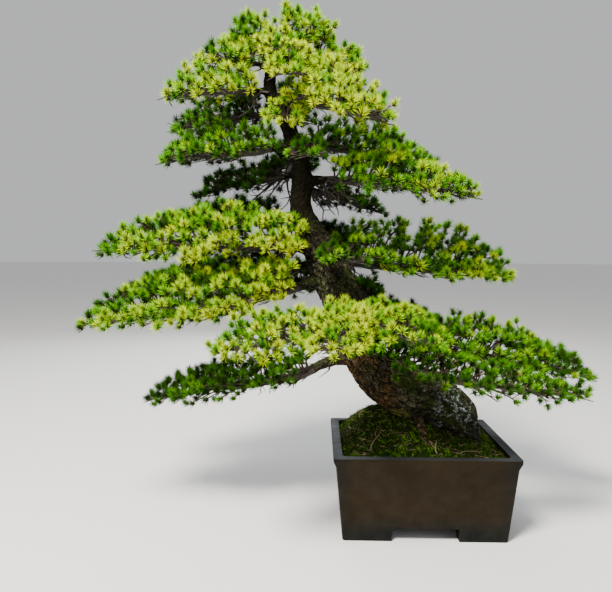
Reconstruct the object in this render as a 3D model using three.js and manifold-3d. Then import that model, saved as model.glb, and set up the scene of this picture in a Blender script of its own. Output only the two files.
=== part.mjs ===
// A japanese white pine bonsai in a rectangular footed pot, in millimetres with +Z up.
// The trunk leans to the left (-X), the front faces -Y, and the pot stands on its four corner feet.
// Foliage is built as sprays: a limb's outer part, its side shoots and their whorls of needles in one skin.
// The model is laid out with z = 0 under the feet and x = y = 0 at the middle of the pot, and the finished
// group is then moved so that the origin lies under the middle of the whole object.

import * as THREE from 'three';
import { mergeVertices } from 'three/addons/utils/BufferGeometryUtils.js';
import Module from 'manifold-3d';

const wasm = await Module();
wasm.setup();

// Clearance between touching pieces, and the wider one round the tree's buried foot
const GAP = 0.3;
const TREE_CLEARANCE = 1.5 * GAP;

// Pot
const POT_WIDTH = 360;
const POT_DEPTH = 281;
const POT_HEIGHT = 168;
const BASE_INSET = 18.6;
const FLARE_HEIGHT = 20;
const FLARE_OUT = 5;
const CORNER_RADIUS = 6;
const WALL = 10.5;
const LIP_WIDTH = 18;
const LIP_HEIGHT = 18;
const FOOT_HEIGHT = 26;
const FOOT_THICKNESS = 24;
const FRONT_ARCH_WIDTH = 131;
const SIDE_ARCH_WIDTH = 92;
const ARCH_CORNER = 3;
const ARCH_SEGMENTS = 3;
const FLOOR_THICKNESS = 13;
const DRAIN_DIAMETER = 28;
const DRAIN_SPACING = 150;
const DRAIN_SIDES = 12;

// Drain screens
const SCREEN_SIZE = 46;
const SCREEN_THICKNESS = 2;
const SCREEN_SLOTS = 4;
const SCREEN_SLOT_WIDTH = 5;
const SCREEN_MARGIN = 6;

// Soil and moss
const MOSS_THICKNESS = 8;
const MOSS_EDGE_DROP = 9;
const MOUND_RISE = 66;
const MOUND_CENTRE = [-58, 52];
const MOUND_REACH = { left: 116, right: 180, front: 128, back: 105 };
const MOUND_FADE = 8;
const GROUND_CELLS = [8, 6];
const GROUND_MARGIN = 5;

// Trunk: centre x, y, z and radius of the bark, from the buried root base to the top of the leader
const TRUNK = [
  [90, 24, 102, 38], [94, 24, 136, 44], [93, 23, 170, 48], [84, 21, 201, 51], [61, 18, 228, 52],
  [27, 13, 249, 50], [-19, 8, 264, 50], [-66, 2, 289, 48], [-102, -4, 328, 43], [-125, -7, 366, 42],
  [-140, -9, 404, 42], [-155, -10, 446, 42], [-172, -10, 488, 41], [-188, -10, 526, 39],
  [-204, -10, 558, 35], [-228, -10, 598, 31], [-247, -10, 648, 23], [-246, -10, 698, 21],
  [-248, -10, 742, 19], [-264, -15, 788, 16.5], [-278, -20, 824, 15.5], [-296, -22, 852, 14.5],
  [-310, -25, 884, 13.5], [-308, -28, 920, 11.5], [-296, -30, 950, 9.5], [-286, -33, 976, 7],
];
const TRUNK_SIDES = 14;
const TRUNK_STEP = 36;

// The trunk's sharp bend at its foot has finer steps
const FOOT_STEP = 20;
const FOOT_LENGTH = 160;

// Ridges of the bark: how many stand round the trunk, the length over which they lean by a radian, and their
// height at the foot as a share of the radius. Toward the top their height falls to TOP_RIDGES of that.
const RIDGES = [[3, 47, 0.06], [5, -29, 0.04], [8, 17, 0.03]];
const TOP_RIDGES = 0.3;

// Surface roots: the height where each leaves the trunk, its heading in degrees from +X, reach and thickness.
// The path gives how high a root runs over the moss, in thicknesses, at two shares of its reach.
const ROOTS = [[206, -58, 96, 12], [262, -73, 110, 12], [200, 50, 92, 15]];
const ROOT_PATH = [[0.6, 0.3], [0.85, -0.7]];
const ROOT_TAPER = 0.6;
const ROOT_STEPS = 4;
const ROOT_SIDES = 5;
const ROOT_SINK = 30;

// Limbs: the height where each leaves the trunk, its root radius, the length that stays bare, the half width
// and the height of the dome of foliage over it, and the points of its line after the trunk
const LIMBS = [
  ['left_low', 352, 14, 106, 94, 68, [-202, -10, 326], [-252, -10, 300], [-354, -4, 280], [-456, 4, 264],
    [-534, 10, 252], [-574, 10, 238]],
  ['front_low_left', 388, 10, 112, 86, 68, [-192, -120, 400], [-260, -200, 404], [-326, -255, 402],
    [-376, -286, 396]],
  ['front_low_centre', 402, 9, 98, 78, 72, [-150, -120, 408], [-172, -214, 408], [-194, -296, 398]],
  ['front_low_right', 416, 9, 98, 86, 58, [-122, -116, 422], [-76, -194, 418], [-10, -254, 408]],
  ['right_low', 412, 13, 86, 100, 98, [-70, 34, 390], [-9, 50, 358], [89, 45, 340], [186, 25, 330],
    [270, 5, 318], [358, -15, 302]],
  ['right_low_front', 366, 10, 76, 82, 52, [-62, -80, 354], [-10, -120, 334], [76, -130, 314],
    [175, -115, 299], [250, -95, 288], [318, -85, 284]],
  ['right_low_back', 432, 9, 98, 86, 58, [-60, 120, 404], [30, 190, 376], [112, 232, 348]],
  ['left_mid_low', 506, 12, 76, 94, 96, [-238, -24, 494], [-310, -50, 472], [-378, -80, 446],
    [-462, -96, 437], [-565, -100, 431], [-668, -100, 418]],
  ['left_mid_low_back', 536, 10, 98, 86, 56, [-316, 44, 522], [-420, 76, 502], [-540, 86, 484],
    [-646, 66, 462]],
  ['left_mid', 572, 12, 58, 96, 90, [-300, -36, 572], [-396, -66, 570], [-502, -80, 568],
    [-600, -80, 564], [-640, -78, 558]],
  ['left_mid_back', 638, 8, 70, 80, 54, [-330, 60, 636], [-444, 90, 626], [-560, 100, 612]],
  ['left_upper_low', 722, 7, 54, 68, 42, [-314, 30, 714], [-404, 50, 700], [-474, 50, 682]],
  ['left_upper', 776, 8, 52, 78, 66, [-350, -40, 758], [-436, -60, 748], [-516, -60, 740]],
  ['left_upper_back', 844, 6, 48, 66, 58, [-378, 20, 838], [-457, 50, 832], [-524, 60, 826]],
  ['left_top', 882, 6, 40, 66, 62, [-364, -70, 872], [-437, -100, 857], [-498, -100, 852]],
  ['left_crown', 922, 5, 30, 54, 56, [-348, -50, 932], [-400, -70, 930], [-440, -70, 930]],
  ['right_mid', 556, 12, 62, 98, 124, [-139, 30, 541], [-33, 50, 526], [64, 50, 522], [148, 40, 517],
    [196, 30, 510]],
  ['right_upper', 704, 10, 60, 86, 66, [-178, -30, 706], [-91, -60, 694], [6, -70, 684], [90, -70, 672]],
  ['right_upper_low', 690, 7, 70, 58, 26, [-196, 60, 688], [-128, 110, 668], [-66, 136, 652]],
  ['right_upper_back', 790, 8, 54, 78, 78, [-205, 40, 788], [-121, 80, 776], [-32, 90, 764],
    [46, 80, 744]],
  ['right_top', 870, 6, 46, 72, 94, [-236, -84, 846], [-173, -125, 818], [-119, -146, 806],
    [-80, -148, 804]],
  ['right_crown', 944, 5, 30, 58, 64, [-220, -30, 936], [-166, -30, 932], [-126, -30, 926]],
  ['front_mid', 540, 5, 76, 34, 28, [-190, -76, 552], [-176, -124, 556]],
  ['front_upper', 762, 5, 40, 46, 44, [-236, -64, 752], [-226, -112, 744]],
  ['front_top', 828, 5, 42, 52, 52, [-276, -68, 818], [-276, -120, 806]],
  ['front_crown', 922, 5, 40, 60, 62, [-274, -90, 902], [-262, -156, 878]],
  ['back_low', 462, 9, 90, 94, 76, [-130, 90, 466], [-110, 180, 456], [-90, 262, 438]],
  ['back_low_left', 488, 9, 94, 88, 72, [-230, 90, 486], [-306, 176, 470], [-372, 248, 450]],
  ['back_mid', 592, 8, 80, 76, 50, [-196, 84, 588], [-170, 166, 574], [-150, 236, 556]],
  ['back_upper', 756, 7, 56, 74, 66, [-262, 64, 760], [-280, 136, 752], [-290, 200, 736]],
  ['back_top', 868, 6, 44, 64, 60, [-296, 48, 874], [-276, 104, 868], [-258, 154, 854]],
  ['apex_left', 954, 4, 22, 52, 58, [-326, -44, 974], [-380, -52, 984]],
  ['apex_front', 948, 4, 28, 50, 50, [-290, -80, 940], [-280, -132, 926]],
  ['apex_right', 960, 4, 22, 54, 58, [-250, -42, 978], [-194, -50, 984]],
  ['apex_back', 960, 4, 26, 48, 48, [-292, 20, 978], [-300, 66, 976]],
  ['leader', 972, 6, 8, 58, 46, [-280, -36, 996], [-277, -40, 1020]],
];
const LIMB_SIDES = 5;
const LIMB_STEP = 60;
const STUB_STEP = 48;
const LIMB_TIP_RADIUS = 2.2;
const LIMB_TAPER = 0.75;

// Side shoots: their angles round the limb in turn, from its right side over its top, how far they fork off
// it at the side and on top, and their lengths as shares of the dome's reach in that direction. The dome is
// DOME_ROOT of its full size at its root. A shoot that finds no room shrinks step by step.
const SHOOT_SPACING = 39;
const SHOOT_START = 0.6;
const SHOOT_ANGLES = [8, 172, 90, 140, 40, 115, 65];
const SHOOT_FORKS = [58, 76];
const FORK_JITTER = 12;
const SHOOT_LENGTHS = [0.82, 1.02];
const SHORTEST_SHOOT = 22;
const SHOOT_SHRINKS = [1, 0.8, 0.6, 0.4];
const SHOOT_RADIUS = 2.1;
const SHOOT_TIP_RADIUS = 1.4;
const SHOOT_ROOT_SHARE = 0.7;
const SHOOT_LIFT = 0.2;
const SHOOT_SAG = 0.26;
const SHOOT_ZIGZAG = 5;
const LEAST_LEVEL = 0.3;
const DOME_ROOT = 0.7;

// Needles: the whorls that carry them, and how they lean from the shoot, the near and the far ones in turn.
// Past NEEDLE_FREE of its length a needle touches no other, and each try at that has more jitter.
const WHORL_SPACING = 43;
const WHORL_LENGTH = 5;
const NEEDLE_LENGTH = 19;
const NEEDLE_RADIUS = 1;
const NEEDLE_LEAN = [64, 36];
const NEEDLE_JITTER = 8;
const NEEDLE_TRIES = 6;
const TRY_JITTER = 5;
const NEEDLE_FREE = 0.4;
const LEAST_RISE = 0.25;
const TIP_SPREAD = 0.25;
const UP_BIAS = 0.2;

// Air kept free round each length of wood and needle, and how much thicker a bent length counts, for its bow
const AIR_MARGIN = 1;
const BOW_COVER = 1.1;
const SEED = 20;

const UP = new THREE.Vector3(0, 0, 1);

// The direction that every ring starts from, which no limb follows
const RING_START = new THREE.Vector3(0.1, 0.3, 1).normalize();
const radians = THREE.MathUtils.degToRad;

// A seeded source of numbers from 0 to 1
function randomSource(seed) {
  let state = seed;
  return () => {
    state = (state + 0x6d2b79f5) | 0;
    let mixed = Math.imul(state ^ (state >>> 15), 1 | state);
    mixed = (mixed + Math.imul(mixed ^ (mixed >>> 7), 61 | mixed)) ^ mixed;
    return ((mixed ^ (mixed >>> 14)) >>> 0) / 4294967296;
  };
}

// Turns a closed geometry into a solid that can be joined and cut
function toSolid(geometry) {
  const bare = geometry.clone();
  bare.deleteAttribute('normal');
  bare.deleteAttribute('uv');
  const merged = mergeVertices(bare, 1e-4);
  return new wasm.Manifold(new wasm.Mesh({
    numProp: 3,
    vertProperties: new Float32Array(merged.attributes.position.array),
    triVerts: new Uint32Array(merged.index.array),
  }));
}

function toGeometry(solid) {
  const mesh = solid.getMesh();
  return meshGeometry(Array.from(mesh.vertProperties), Array.from(mesh.triVerts));
}

function meshGeometry(coordinates, indices) {
  const geometry = new THREE.BufferGeometry();
  geometry.setAttribute('position', new THREE.Float32BufferAttribute(coordinates, 3));
  geometry.setIndex(indices);
  geometry.computeVertexNormals();
  return geometry;
}

function cut(body, ...tools) {
  return toGeometry(tools.reduce((solid, tool) => solid.subtract(toSolid(tool)), toSolid(body)));
}

function join(body, ...others) {
  return toGeometry(others.reduce((solid, other) => solid.add(toSolid(other)), toSolid(body)));
}

// One closed skin that tubes and needles grow out of, face by face
class Skin {
  constructor() {
    this.points = [];
    this.faces = [];
  }

  addFace(a, b, c) {
    const face = { corners: [a, b, c] };
    this.faces.push(face);
    return face;
  }

  // A regular ring of points round a centre, counter-clockwise about the axis, starting toward `first`
  addRing(centre, axis, first, radius, sides, relief = () => 1) {
    const side = new THREE.Vector3().crossVectors(axis, first).normalize();
    const front = new THREE.Vector3().crossVectors(side, axis).normalize();
    return Array.from({ length: sides }, (_, i) => {
      const angle = (2 * Math.PI * i) / sides;
      const reach = radius * relief(angle);
      this.points.push(centre.clone()
        .addScaledVector(front, reach * Math.cos(angle))
        .addScaledVector(side, reach * Math.sin(angle)));
      return this.points.length - 1;
    });
  }

  // Walls between two rings, as pairs of faces
  bridge(near, far) {
    return near.flatMap((corner, i) => {
      const next = (i + 1) % near.length;
      return [this.addFace(corner, near[next], far[next]), this.addFace(corner, far[next], far[i])];
    });
  }

  addCap(ring, facingBack) {
    const order = facingBack ? [...ring].reverse() : ring;
    return order.slice(2).map((corner, i) => this.addFace(order[0], order[i + 1], corner));
  }

  remove(face) {
    this.faces.splice(this.faces.indexOf(face), 1);
  }

  centre(face) {
    return face.corners
      .reduce((sum, corner) => sum.add(this.points[corner]), new THREE.Vector3())
      .divideScalar(3);
  }

  normal(face) {
    const [a, b, c] = face.corners.map((corner) => this.points[corner]);
    return new THREE.Triangle(a, b, c).getNormal(new THREE.Vector3());
  }

  // Draws a face out into a needle
  raise(face, tip) {
    const [a, b, c] = face.corners;
    this.points.push(tip);
    const end = this.points.length - 1;
    this.remove(face);
    this.addFace(a, b, end);
    this.addFace(b, c, end);
    this.addFace(c, a, end);
  }

  toGeometry() {
    const coordinates = this.points.flatMap((point) => point.toArray());
    return meshGeometry(coordinates, this.faces.flatMap((face) => face.corners));
  }
}

// Shortest distance between two straight lengths, each given by its ends
function lengthDistance(a, b) {
  const along = new THREE.Vector3().subVectors(a.end, a.start);
  const across = new THREE.Vector3().subVectors(b.end, b.start);
  const between = new THREE.Vector3().subVectors(a.start, b.start);
  const alongSq = along.lengthSq();
  const acrossSq = across.lengthSq();
  const mixed = along.dot(across);
  const alongBetween = along.dot(between);
  const acrossBetween = across.dot(between);
  const clamp = (value) => Math.min(1, Math.max(0, value));
  const spread = alongSq * acrossSq - mixed * mixed;
  let s = spread > 1e-9 ? clamp((mixed * acrossBetween - alongBetween * acrossSq) / spread) : 0;
  const t = clamp((mixed * s + acrossBetween) / acrossSq);
  s = clamp((mixed * t - alongBetween) / alongSq);
  return between.addScaledVector(along, s).addScaledVector(across, -t).length();
}

// What already fills the air round the tree: straight round lengths, each with an owner
class Air {
  constructor() {
    this.lengths = [];
  }

  fill(start, end, radius, owner) {
    this.lengths.push({ start, end, radius, owner, reach: start.distanceTo(end) / 2 + radius,
      middle: new THREE.Vector3().lerpVectors(start, end, 0.5) });
  }

  isClear(start, end, radius, mayTouch) {
    const length = { start, end };
    const middle = new THREE.Vector3().lerpVectors(start, end, 0.5);
    const reach = start.distanceTo(end) / 2 + radius + AIR_MARGIN;
    return this.lengths.every((other) => mayTouch(other.owner)
      || middle.distanceTo(other.middle) > reach + other.reach
      || lengthDistance(length, other) > radius + other.radius + AIR_MARGIN);
  }
}

// Pot

// Closed body through rounded rectangles, each given as height, half width, half depth and corner radius
function loft(sections, arcSteps = 1) {
  const skin = new Skin();
  const rings = sections.map(([z, halfX, halfY, corner]) => {
    const ring = [];
    for (let quarter = 0; quarter < 4; quarter += 1) {
      const signX = quarter === 0 || quarter === 3 ? 1 : -1;
      const signY = quarter < 2 ? 1 : -1;
      for (let step = 0; step <= arcSteps; step += 1) {
        const angle = (quarter + step / arcSteps) * (Math.PI / 2);
        const x = signX * (halfX - corner) + corner * Math.cos(angle);
        const y = signY * (halfY - corner) + corner * Math.sin(angle);
        skin.points.push(new THREE.Vector3(x, y, z));
        ring.push(skin.points.length - 1);
      }
    }
    return ring;
  });
  skin.addCap(rings[0], true);
  rings.slice(1).forEach((ring, i) => skin.bridge(rings[i], ring));
  skin.addCap(rings.at(-1), false);
  return skin.toGeometry();
}

// Half width and half depth of the pot's outer face at a height, below the flare
function potHalf(z, thickness) {
  const flareFoot = POT_HEIGHT - FLARE_HEIGHT;
  const inset = BASE_INSET - ((BASE_INSET - FLARE_OUT) * z) / flareFoot;
  return [POT_WIDTH / 2 - inset - thickness, POT_DEPTH / 2 - inset - thickness];
}

const POT_FLOOR = FOOT_HEIGHT + FLOOR_THICKNESS;
const LIP_UNDERSIDE = POT_HEIGHT - LIP_HEIGHT;
const LIP_HALF = [POT_WIDTH / 2 - LIP_WIDTH, POT_DEPTH / 2 - LIP_WIDTH];
const OVERSHOOT = 10;

function cavity(clearance) {
  const floor = POT_FLOOR + clearance;
  const roof = LIP_UNDERSIDE - clearance;
  const thickness = WALL + clearance;
  return loft([
    [floor, ...potHalf(floor, thickness), CORNER_RADIUS],
    [roof, ...potHalf(roof, thickness), CORNER_RADIUS],
  ]);
}

// Long low opening between two feet, with rounded upper corners, running right through the pot
function arch(width, through) {
  const half = width / 2;
  const outline = new THREE.Shape();
  outline.moveTo(-half, -OVERSHOOT);
  outline.lineTo(half, -OVERSHOOT);
  outline.lineTo(half, FOOT_HEIGHT - ARCH_CORNER);
  outline.absarc(half - ARCH_CORNER, FOOT_HEIGHT - ARCH_CORNER, ARCH_CORNER, 0, Math.PI / 2, false);
  outline.absarc(ARCH_CORNER - half, FOOT_HEIGHT - ARCH_CORNER, ARCH_CORNER, Math.PI / 2, Math.PI, false);
  const settings = { depth: through, bevelEnabled: false, curveSegments: ARCH_SEGMENTS };
  const solid = new THREE.ExtrudeGeometry(outline, settings);
  return solid.translate(0, 0, -through / 2).rotateX(Math.PI / 2);
}

function drain(side) {
  const radius = DRAIN_DIAMETER / 2;
  const hole = new THREE.CylinderGeometry(radius, radius, POT_FLOOR, DRAIN_SIDES);
  return hole.rotateX(Math.PI / 2).translate((side * DRAIN_SPACING) / 2, 0, POT_FLOOR / 2 + FOOT_HEIGHT / 2);
}

function potGeometry() {
  const flareFoot = POT_HEIGHT - FLARE_HEIGHT;
  const body = loft([
    [0, ...potHalf(0, 0), CORNER_RADIUS],
    [flareFoot, ...potHalf(flareFoot, 0), CORNER_RADIUS],
    [POT_HEIGHT - FLARE_HEIGHT / 3, POT_WIDTH / 2, POT_DEPTH / 2, CORNER_RADIUS],
    [POT_HEIGHT, POT_WIDTH / 2, POT_DEPTH / 2, CORNER_RADIUS],
  ], 2);
  const mouth = loft([
    [LIP_UNDERSIDE - 1, ...LIP_HALF, CORNER_RADIUS],
    [POT_HEIGHT + OVERSHOOT, ...LIP_HALF, CORNER_RADIUS],
  ]);
  const footHalf = potHalf(0, FOOT_THICKNESS);
  const recess = loft([[-OVERSHOOT, ...footHalf, CORNER_RADIUS], [FOOT_HEIGHT, ...footHalf, CORNER_RADIUS]]);
  const frontArch = arch(FRONT_ARCH_WIDTH, POT_DEPTH + OVERSHOOT);
  const sideArch = arch(SIDE_ARCH_WIDTH, POT_WIDTH + OVERSHOOT).rotateZ(Math.PI / 2);
  return cut(body, cavity(0), mouth, recess, frontArch, sideArch, drain(-1), drain(1));
}

function screenGeometry() {
  const plate = new THREE.BoxGeometry(SCREEN_SIZE, SCREEN_SIZE, SCREEN_THICKNESS);
  const pitch = (SCREEN_SIZE - 2 * SCREEN_MARGIN) / SCREEN_SLOTS;
  const slots = Array.from({ length: SCREEN_SLOTS }, (_, i) => {
    const slot = new THREE.BoxGeometry(SCREEN_SLOT_WIDTH, SCREEN_SIZE - 2 * SCREEN_MARGIN, OVERSHOOT);
    return slot.translate((i - (SCREEN_SLOTS - 1) / 2) * pitch, 0, 0);
  });
  return cut(plate, ...slots);
}

// Soil and moss

// Height of the moss: level at the rim, with a mound that rises toward the back left of the trunk
function mossHeight(x, y) {
  const fade = (1 - (x / LIP_HALF[0]) ** MOUND_FADE) * (1 - (y / LIP_HALF[1]) ** MOUND_FADE);
  const [offX, offY] = [x - MOUND_CENTRE[0], y - MOUND_CENTRE[1]];
  const across = offX / (offX < 0 ? MOUND_REACH.left : MOUND_REACH.right);
  const along = offY / (offY < 0 ? MOUND_REACH.front : MOUND_REACH.back);
  return POT_HEIGHT - MOSS_EDGE_DROP + MOUND_RISE * Math.max(0, fade) * Math.exp(-(across ** 2) - along ** 2);
}

// Block wider than the pot's mouth, flat below, whose top follows the moss at a depth under its surface
function ground(depth) {
  const [halfX, halfY] = LIP_HALF.map((half) => half + GROUND_MARGIN);
  const block = new THREE.BoxGeometry(2 * halfX, 2 * halfY, 2, ...GROUND_CELLS, 1);
  const position = block.attributes.position;
  for (let i = 0; i < position.count; i += 1) {
    const top = mossHeight(position.getX(i), position.getY(i)) - depth;
    position.setZ(i, position.getZ(i) > 0 ? top : LIP_UNDERSIDE - OVERSHOOT);
  }
  return block;
}

// The part of the ground that fits inside the pot's mouth
function groundInMouth(depth) {
  const half = LIP_HALF.map((size) => size - GAP);
  const mouth = loft([[0, ...half, CORNER_RADIUS], [2 * POT_HEIGHT, ...half, CORNER_RADIUS]]);
  return toGeometry(toSolid(ground(depth)).intersect(toSolid(mouth)));
}

function soilGeometry(treeHole, screenHoles) {
  return cut(join(cavity(GAP), groundInMouth(MOSS_THICKNESS)), treeHole, ...screenHoles);
}

function mossGeometry(treeHole) {
  return cut(groundInMouth(0), ground(MOSS_THICKNESS - GAP), treeHole);
}

// Trunk, roots and limbs

const LINE_DIVISIONS = 400;

// A line with arc length, made smooth through its points
class Line {
  constructor(points) {
    this.curve = new THREE.CatmullRomCurve3(points, false, 'catmullrom', 0.5);
    this.curve.arcLengthDivisions = LINE_DIVISIONS;
    this.length = this.curve.getLength();
  }

  share(distance) {
    return THREE.MathUtils.clamp(distance / this.length, 0, 1);
  }

  at(distance) {
    return this.curve.getPointAt(this.share(distance));
  }

  heading(distance) {
    return this.curve.getTangentAt(this.share(distance));
  }
}

// Tube round a line through the given distances; `extra` makes it that much thicker and longer at both ends
function tube(line, distances, radiusAt, sides, extra = 0, relief = () => () => 1) {
  const skin = new Skin();
  const rings = distances.map((distance, i) => {
    const heading = line.heading(distance);
    const overrun = i === 0 ? -extra : (i === distances.length - 1 ? extra : 0);
    const centre = line.at(distance).addScaledVector(heading, overrun);
    return skin.addRing(centre, heading, RING_START, radiusAt(distance) + extra, sides, relief(distance));
  });
  skin.addCap(rings[0], true);
  rings.slice(1).forEach((ring, i) => skin.bridge(rings[i], ring));
  skin.addCap(rings.at(-1), false);
  return skin.toGeometry();
}

function steps(from, to, step) {
  const count = Math.max(1, Math.round((to - from) / step));
  return Array.from({ length: count + 1 }, (_, i) => from + ((to - from) * i) / count);
}

const trunkLine = new Line(TRUNK.map(([x, y, z]) => new THREE.Vector3(x, y, z)));

// Radius of the trunk at a distance along it
function trunkRadius(distance) {
  const place = trunkLine.curve.getUtoTmapping(trunkLine.share(distance)) * (TRUNK.length - 1);
  const below = THREE.MathUtils.clamp(Math.floor(place), 0, TRUNK.length - 2);
  return THREE.MathUtils.lerp(TRUNK[below][3], TRUNK[below + 1][3], place - below);
}

// Furrowed bark: ridges that wander round the trunk, shallower toward the top
function barkRelief(distance) {
  const depth = THREE.MathUtils.lerp(1, TOP_RIDGES, distance / trunkLine.length);
  return (angle) => RIDGES.reduce((sum, [count, lean, height]) => {
    return sum + depth * height * Math.sin(count * angle + distance / lean);
  }, 1);
}

// Distance along the trunk where its centre reaches a height
function trunkDistance(height) {
  let low = 0;
  let high = trunkLine.length;
  while (high - low > 0.01) {
    const middle = (low + high) / 2;
    if (trunkLine.at(middle).z < height) low = middle;
    else high = middle;
  }
  return low;
}

function trunkTube(extra) {
  const rest = steps(FOOT_LENGTH, trunkLine.length, TRUNK_STEP).slice(1);
  const distances = [...steps(0, FOOT_LENGTH, FOOT_STEP), ...rest];
  return tube(trunkLine, distances, trunkRadius, TRUNK_SIDES, extra, barkRelief);
}

// A root creeps over the moss from inside the trunk, sinks into it and ends in the soil
function rootTube([height, heading, reach, thickness], extra) {
  const start = trunkLine.at(trunkDistance(height));
  const out = new THREE.Vector3(Math.cos(radians(heading)), Math.sin(radians(heading)), 0);
  const onMoss = (share, lift) => {
    const point = start.clone().addScaledVector(out, reach * share);
    return point.setZ(mossHeight(point.x, point.y) + lift);
  };
  const middle = ROOT_PATH.map(([share, lift]) => onMoss(share, lift * thickness));
  const line = new Line([start, ...middle, onMoss(1, -ROOT_SINK)]);
  const radiusAt = (distance) => thickness * (1 - ROOT_TAPER * line.share(distance));
  return tube(line, steps(0, line.length, line.length / ROOT_STEPS), radiusAt, ROOT_SIDES, extra);
}

// A limb: its line from the middle of the trunk, and its radius along that line
function makeLimb([name, height, thick, bare, width, dome, ...points]) {
  const root = trunkLine.at(trunkDistance(height));
  const line = new Line([root, ...points.map((point) => new THREE.Vector3(...point))]);
  const radiusAt = (distance) => thick + (LIMB_TIP_RADIUS - thick) * (distance / line.length) ** LIMB_TAPER;
  return { name, line, bare, width, dome, radiusAt };
}

const limbs = LIMBS.map(makeLimb);

function stubTube(limb) {
  return tube(limb.line, steps(0, limb.bare, STUB_STEP), limb.radiusAt, LIMB_SIDES);
}

function rootedFoot(extra) {
  return [trunkTube(extra), ...ROOTS.map((root) => rootTube(root, extra))];
}

function trunkGeometry() {
  return join(...rootedFoot(0), ...limbs.map(stubTube));
}

// Sprays

const air = new Air();

function fillAir(line, from, to, radiusAt, owner) {
  const distances = steps(from, to, LIMB_STEP / 2);
  distances.slice(1).forEach((distance, i) => {
    const radius = Math.max(radiusAt(distances[i]), radiusAt(distance)) * BOW_COVER;
    air.fill(line.at(distances[i]), line.at(distance), radius, owner);
  });
}

// Draws a face out into a needle if the air is clear; needles of one whorl may only meet at their feet
function growNeedle(skin, face, direction, owner, parent) {
  const start = skin.centre(face);
  const tip = start.clone().addScaledVector(direction, NEEDLE_LENGTH);
  const middle = start.clone().lerp(tip, NEEDLE_FREE);
  const isKin = (other) => other === owner || other === parent;
  const isWhorl = (other) => isKin(other) || other === `${owner} needle`;
  if (!air.isClear(start, tip, NEEDLE_RADIUS, isWhorl)) return false;
  if (!air.isClear(middle, tip, NEEDLE_RADIUS, isKin)) return false;
  skin.raise(face, tip);
  air.fill(middle, tip, NEEDLE_RADIUS, `${owner} needle`);
  air.fill(start, middle, NEEDLE_RADIUS, owner);
  return true;
}

// Needles from the faces of a whorl, the two triangles of each side in turn, so that they stand all round
function needleWhorl(skin, faces, axis, owner, parent, random) {
  const spread = 180 / faces.length;
  faces.forEach((face, i) => {
    const level = skin.normal(face).projectOnPlane(axis).normalize();
    for (let attempt = 0; attempt < NEEDLE_TRIES; attempt += 1) {
      const jitter = () => (random() - 0.5) * (NEEDLE_JITTER + TRY_JITTER * attempt);
      const turn = radians((i % 2 === 0 ? spread : -spread) + jitter());
      const lean = radians(NEEDLE_LEAN[i % 2] + jitter());
      const direction = level.clone().applyAxisAngle(axis, turn).multiplyScalar(Math.sin(lean))
        .addScaledVector(axis, Math.cos(lean))
        .addScaledVector(UP, UP_BIAS)
        .normalize();
      if (skin.normal(face).dot(direction) < LEAST_RISE) continue;
      if (growNeedle(skin, face, direction, owner, parent)) return;
    }
  });
}

// Needles that point ahead from the faces of a tip, each leaning to its own side
function needleTip(skin, faces, centre, axis, owner, parent) {
  faces.forEach((face) => {
    const lean = skin.centre(face).sub(centre).multiplyScalar(TIP_SPREAD);
    growNeedle(skin, face, axis.clone().add(lean).normalize(), owner, parent);
  });
}

// A side shoot with whorls of needles along it and at its tip, or null where there is no room for it.
// Its root is the point in the middle of the limb that it grows from, with the limb's heading and radius.
function shootGeometry(root, direction, length, owner, parent, random) {
  const whorls = Math.max(1, Math.round(length / WHORL_SPACING));
  const zig = new THREE.Vector3().crossVectors(direction, UP).normalize();
  const level = 1 - Math.abs(direction.z);
  const place = (reach) => {
    const share = reach / length;
    return root.point.clone()
      .addScaledVector(direction, reach)
      .addScaledVector(UP, level * length * (SHOOT_LIFT * share - SHOOT_SAG * share * share))
      .addScaledVector(zig, SHOOT_ZIGZAG * share * Math.sin(share * Math.PI * whorls));
  };
  const reaches = [0];
  for (let whorl = 1; whorl <= whorls; whorl += 1) {
    reaches.push((length * whorl) / whorls - WHORL_LENGTH, (length * whorl) / whorls);
  }
  const centres = reaches.map(place);
  const links = centres.slice(1).map((centre, i) => [centres[i], centre]);
  const isParent = (other) => other === parent;
  if (!links.every(([from, to]) => air.isClear(from, to, SHOOT_RADIUS, isParent))) return null;
  links.forEach(([from, to]) => air.fill(from, to, SHOOT_RADIUS, owner));

  const skin = new Skin();
  const rootRadius = Math.min(SHOOT_RADIUS, SHOOT_ROOT_SHARE * root.radius);
  const axes = centres.map((centre, i) => {
    const before = centres[Math.max(0, i - 1)];
    return new THREE.Vector3().subVectors(centres[Math.min(centres.length - 1, i + 1)], before).normalize();
  });
  const rings = centres.map((centre, i) => {
    const radius = THREE.MathUtils.lerp(rootRadius, SHOOT_TIP_RADIUS, reaches[i] / length);
    return skin.addRing(centre, axes[i], root.heading, radius, 3);
  });
  skin.addCap(rings[0], true);
  const walls = rings.slice(1).map((ring, i) => skin.bridge(rings[i], ring));
  const cap = skin.addCap(rings.at(-1), false);
  walls.forEach((faces, i) => {
    if (i % 2 === 1) needleWhorl(skin, faces, axes[i + 1], owner, parent, random);
  });
  needleTip(skin, cap, centres.at(-1), axes.at(-1), owner, parent);
  return skin.toGeometry();
}

// Share of its full size that the dome has at a share of the leafy length: a blunt leaf shape
function domeShape(share) {
  return Math.sqrt(1 - share ** 3) * THREE.MathUtils.lerp(DOME_ROOT, 1, Math.sin(Math.PI * share));
}

// How far the dome reaches from the limb at an angle round it
function domeReach({ width, dome }, share, angle) {
  return domeShape(share) / Math.hypot(Math.cos(angle) / width, Math.sin(angle) / dome);
}

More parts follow.
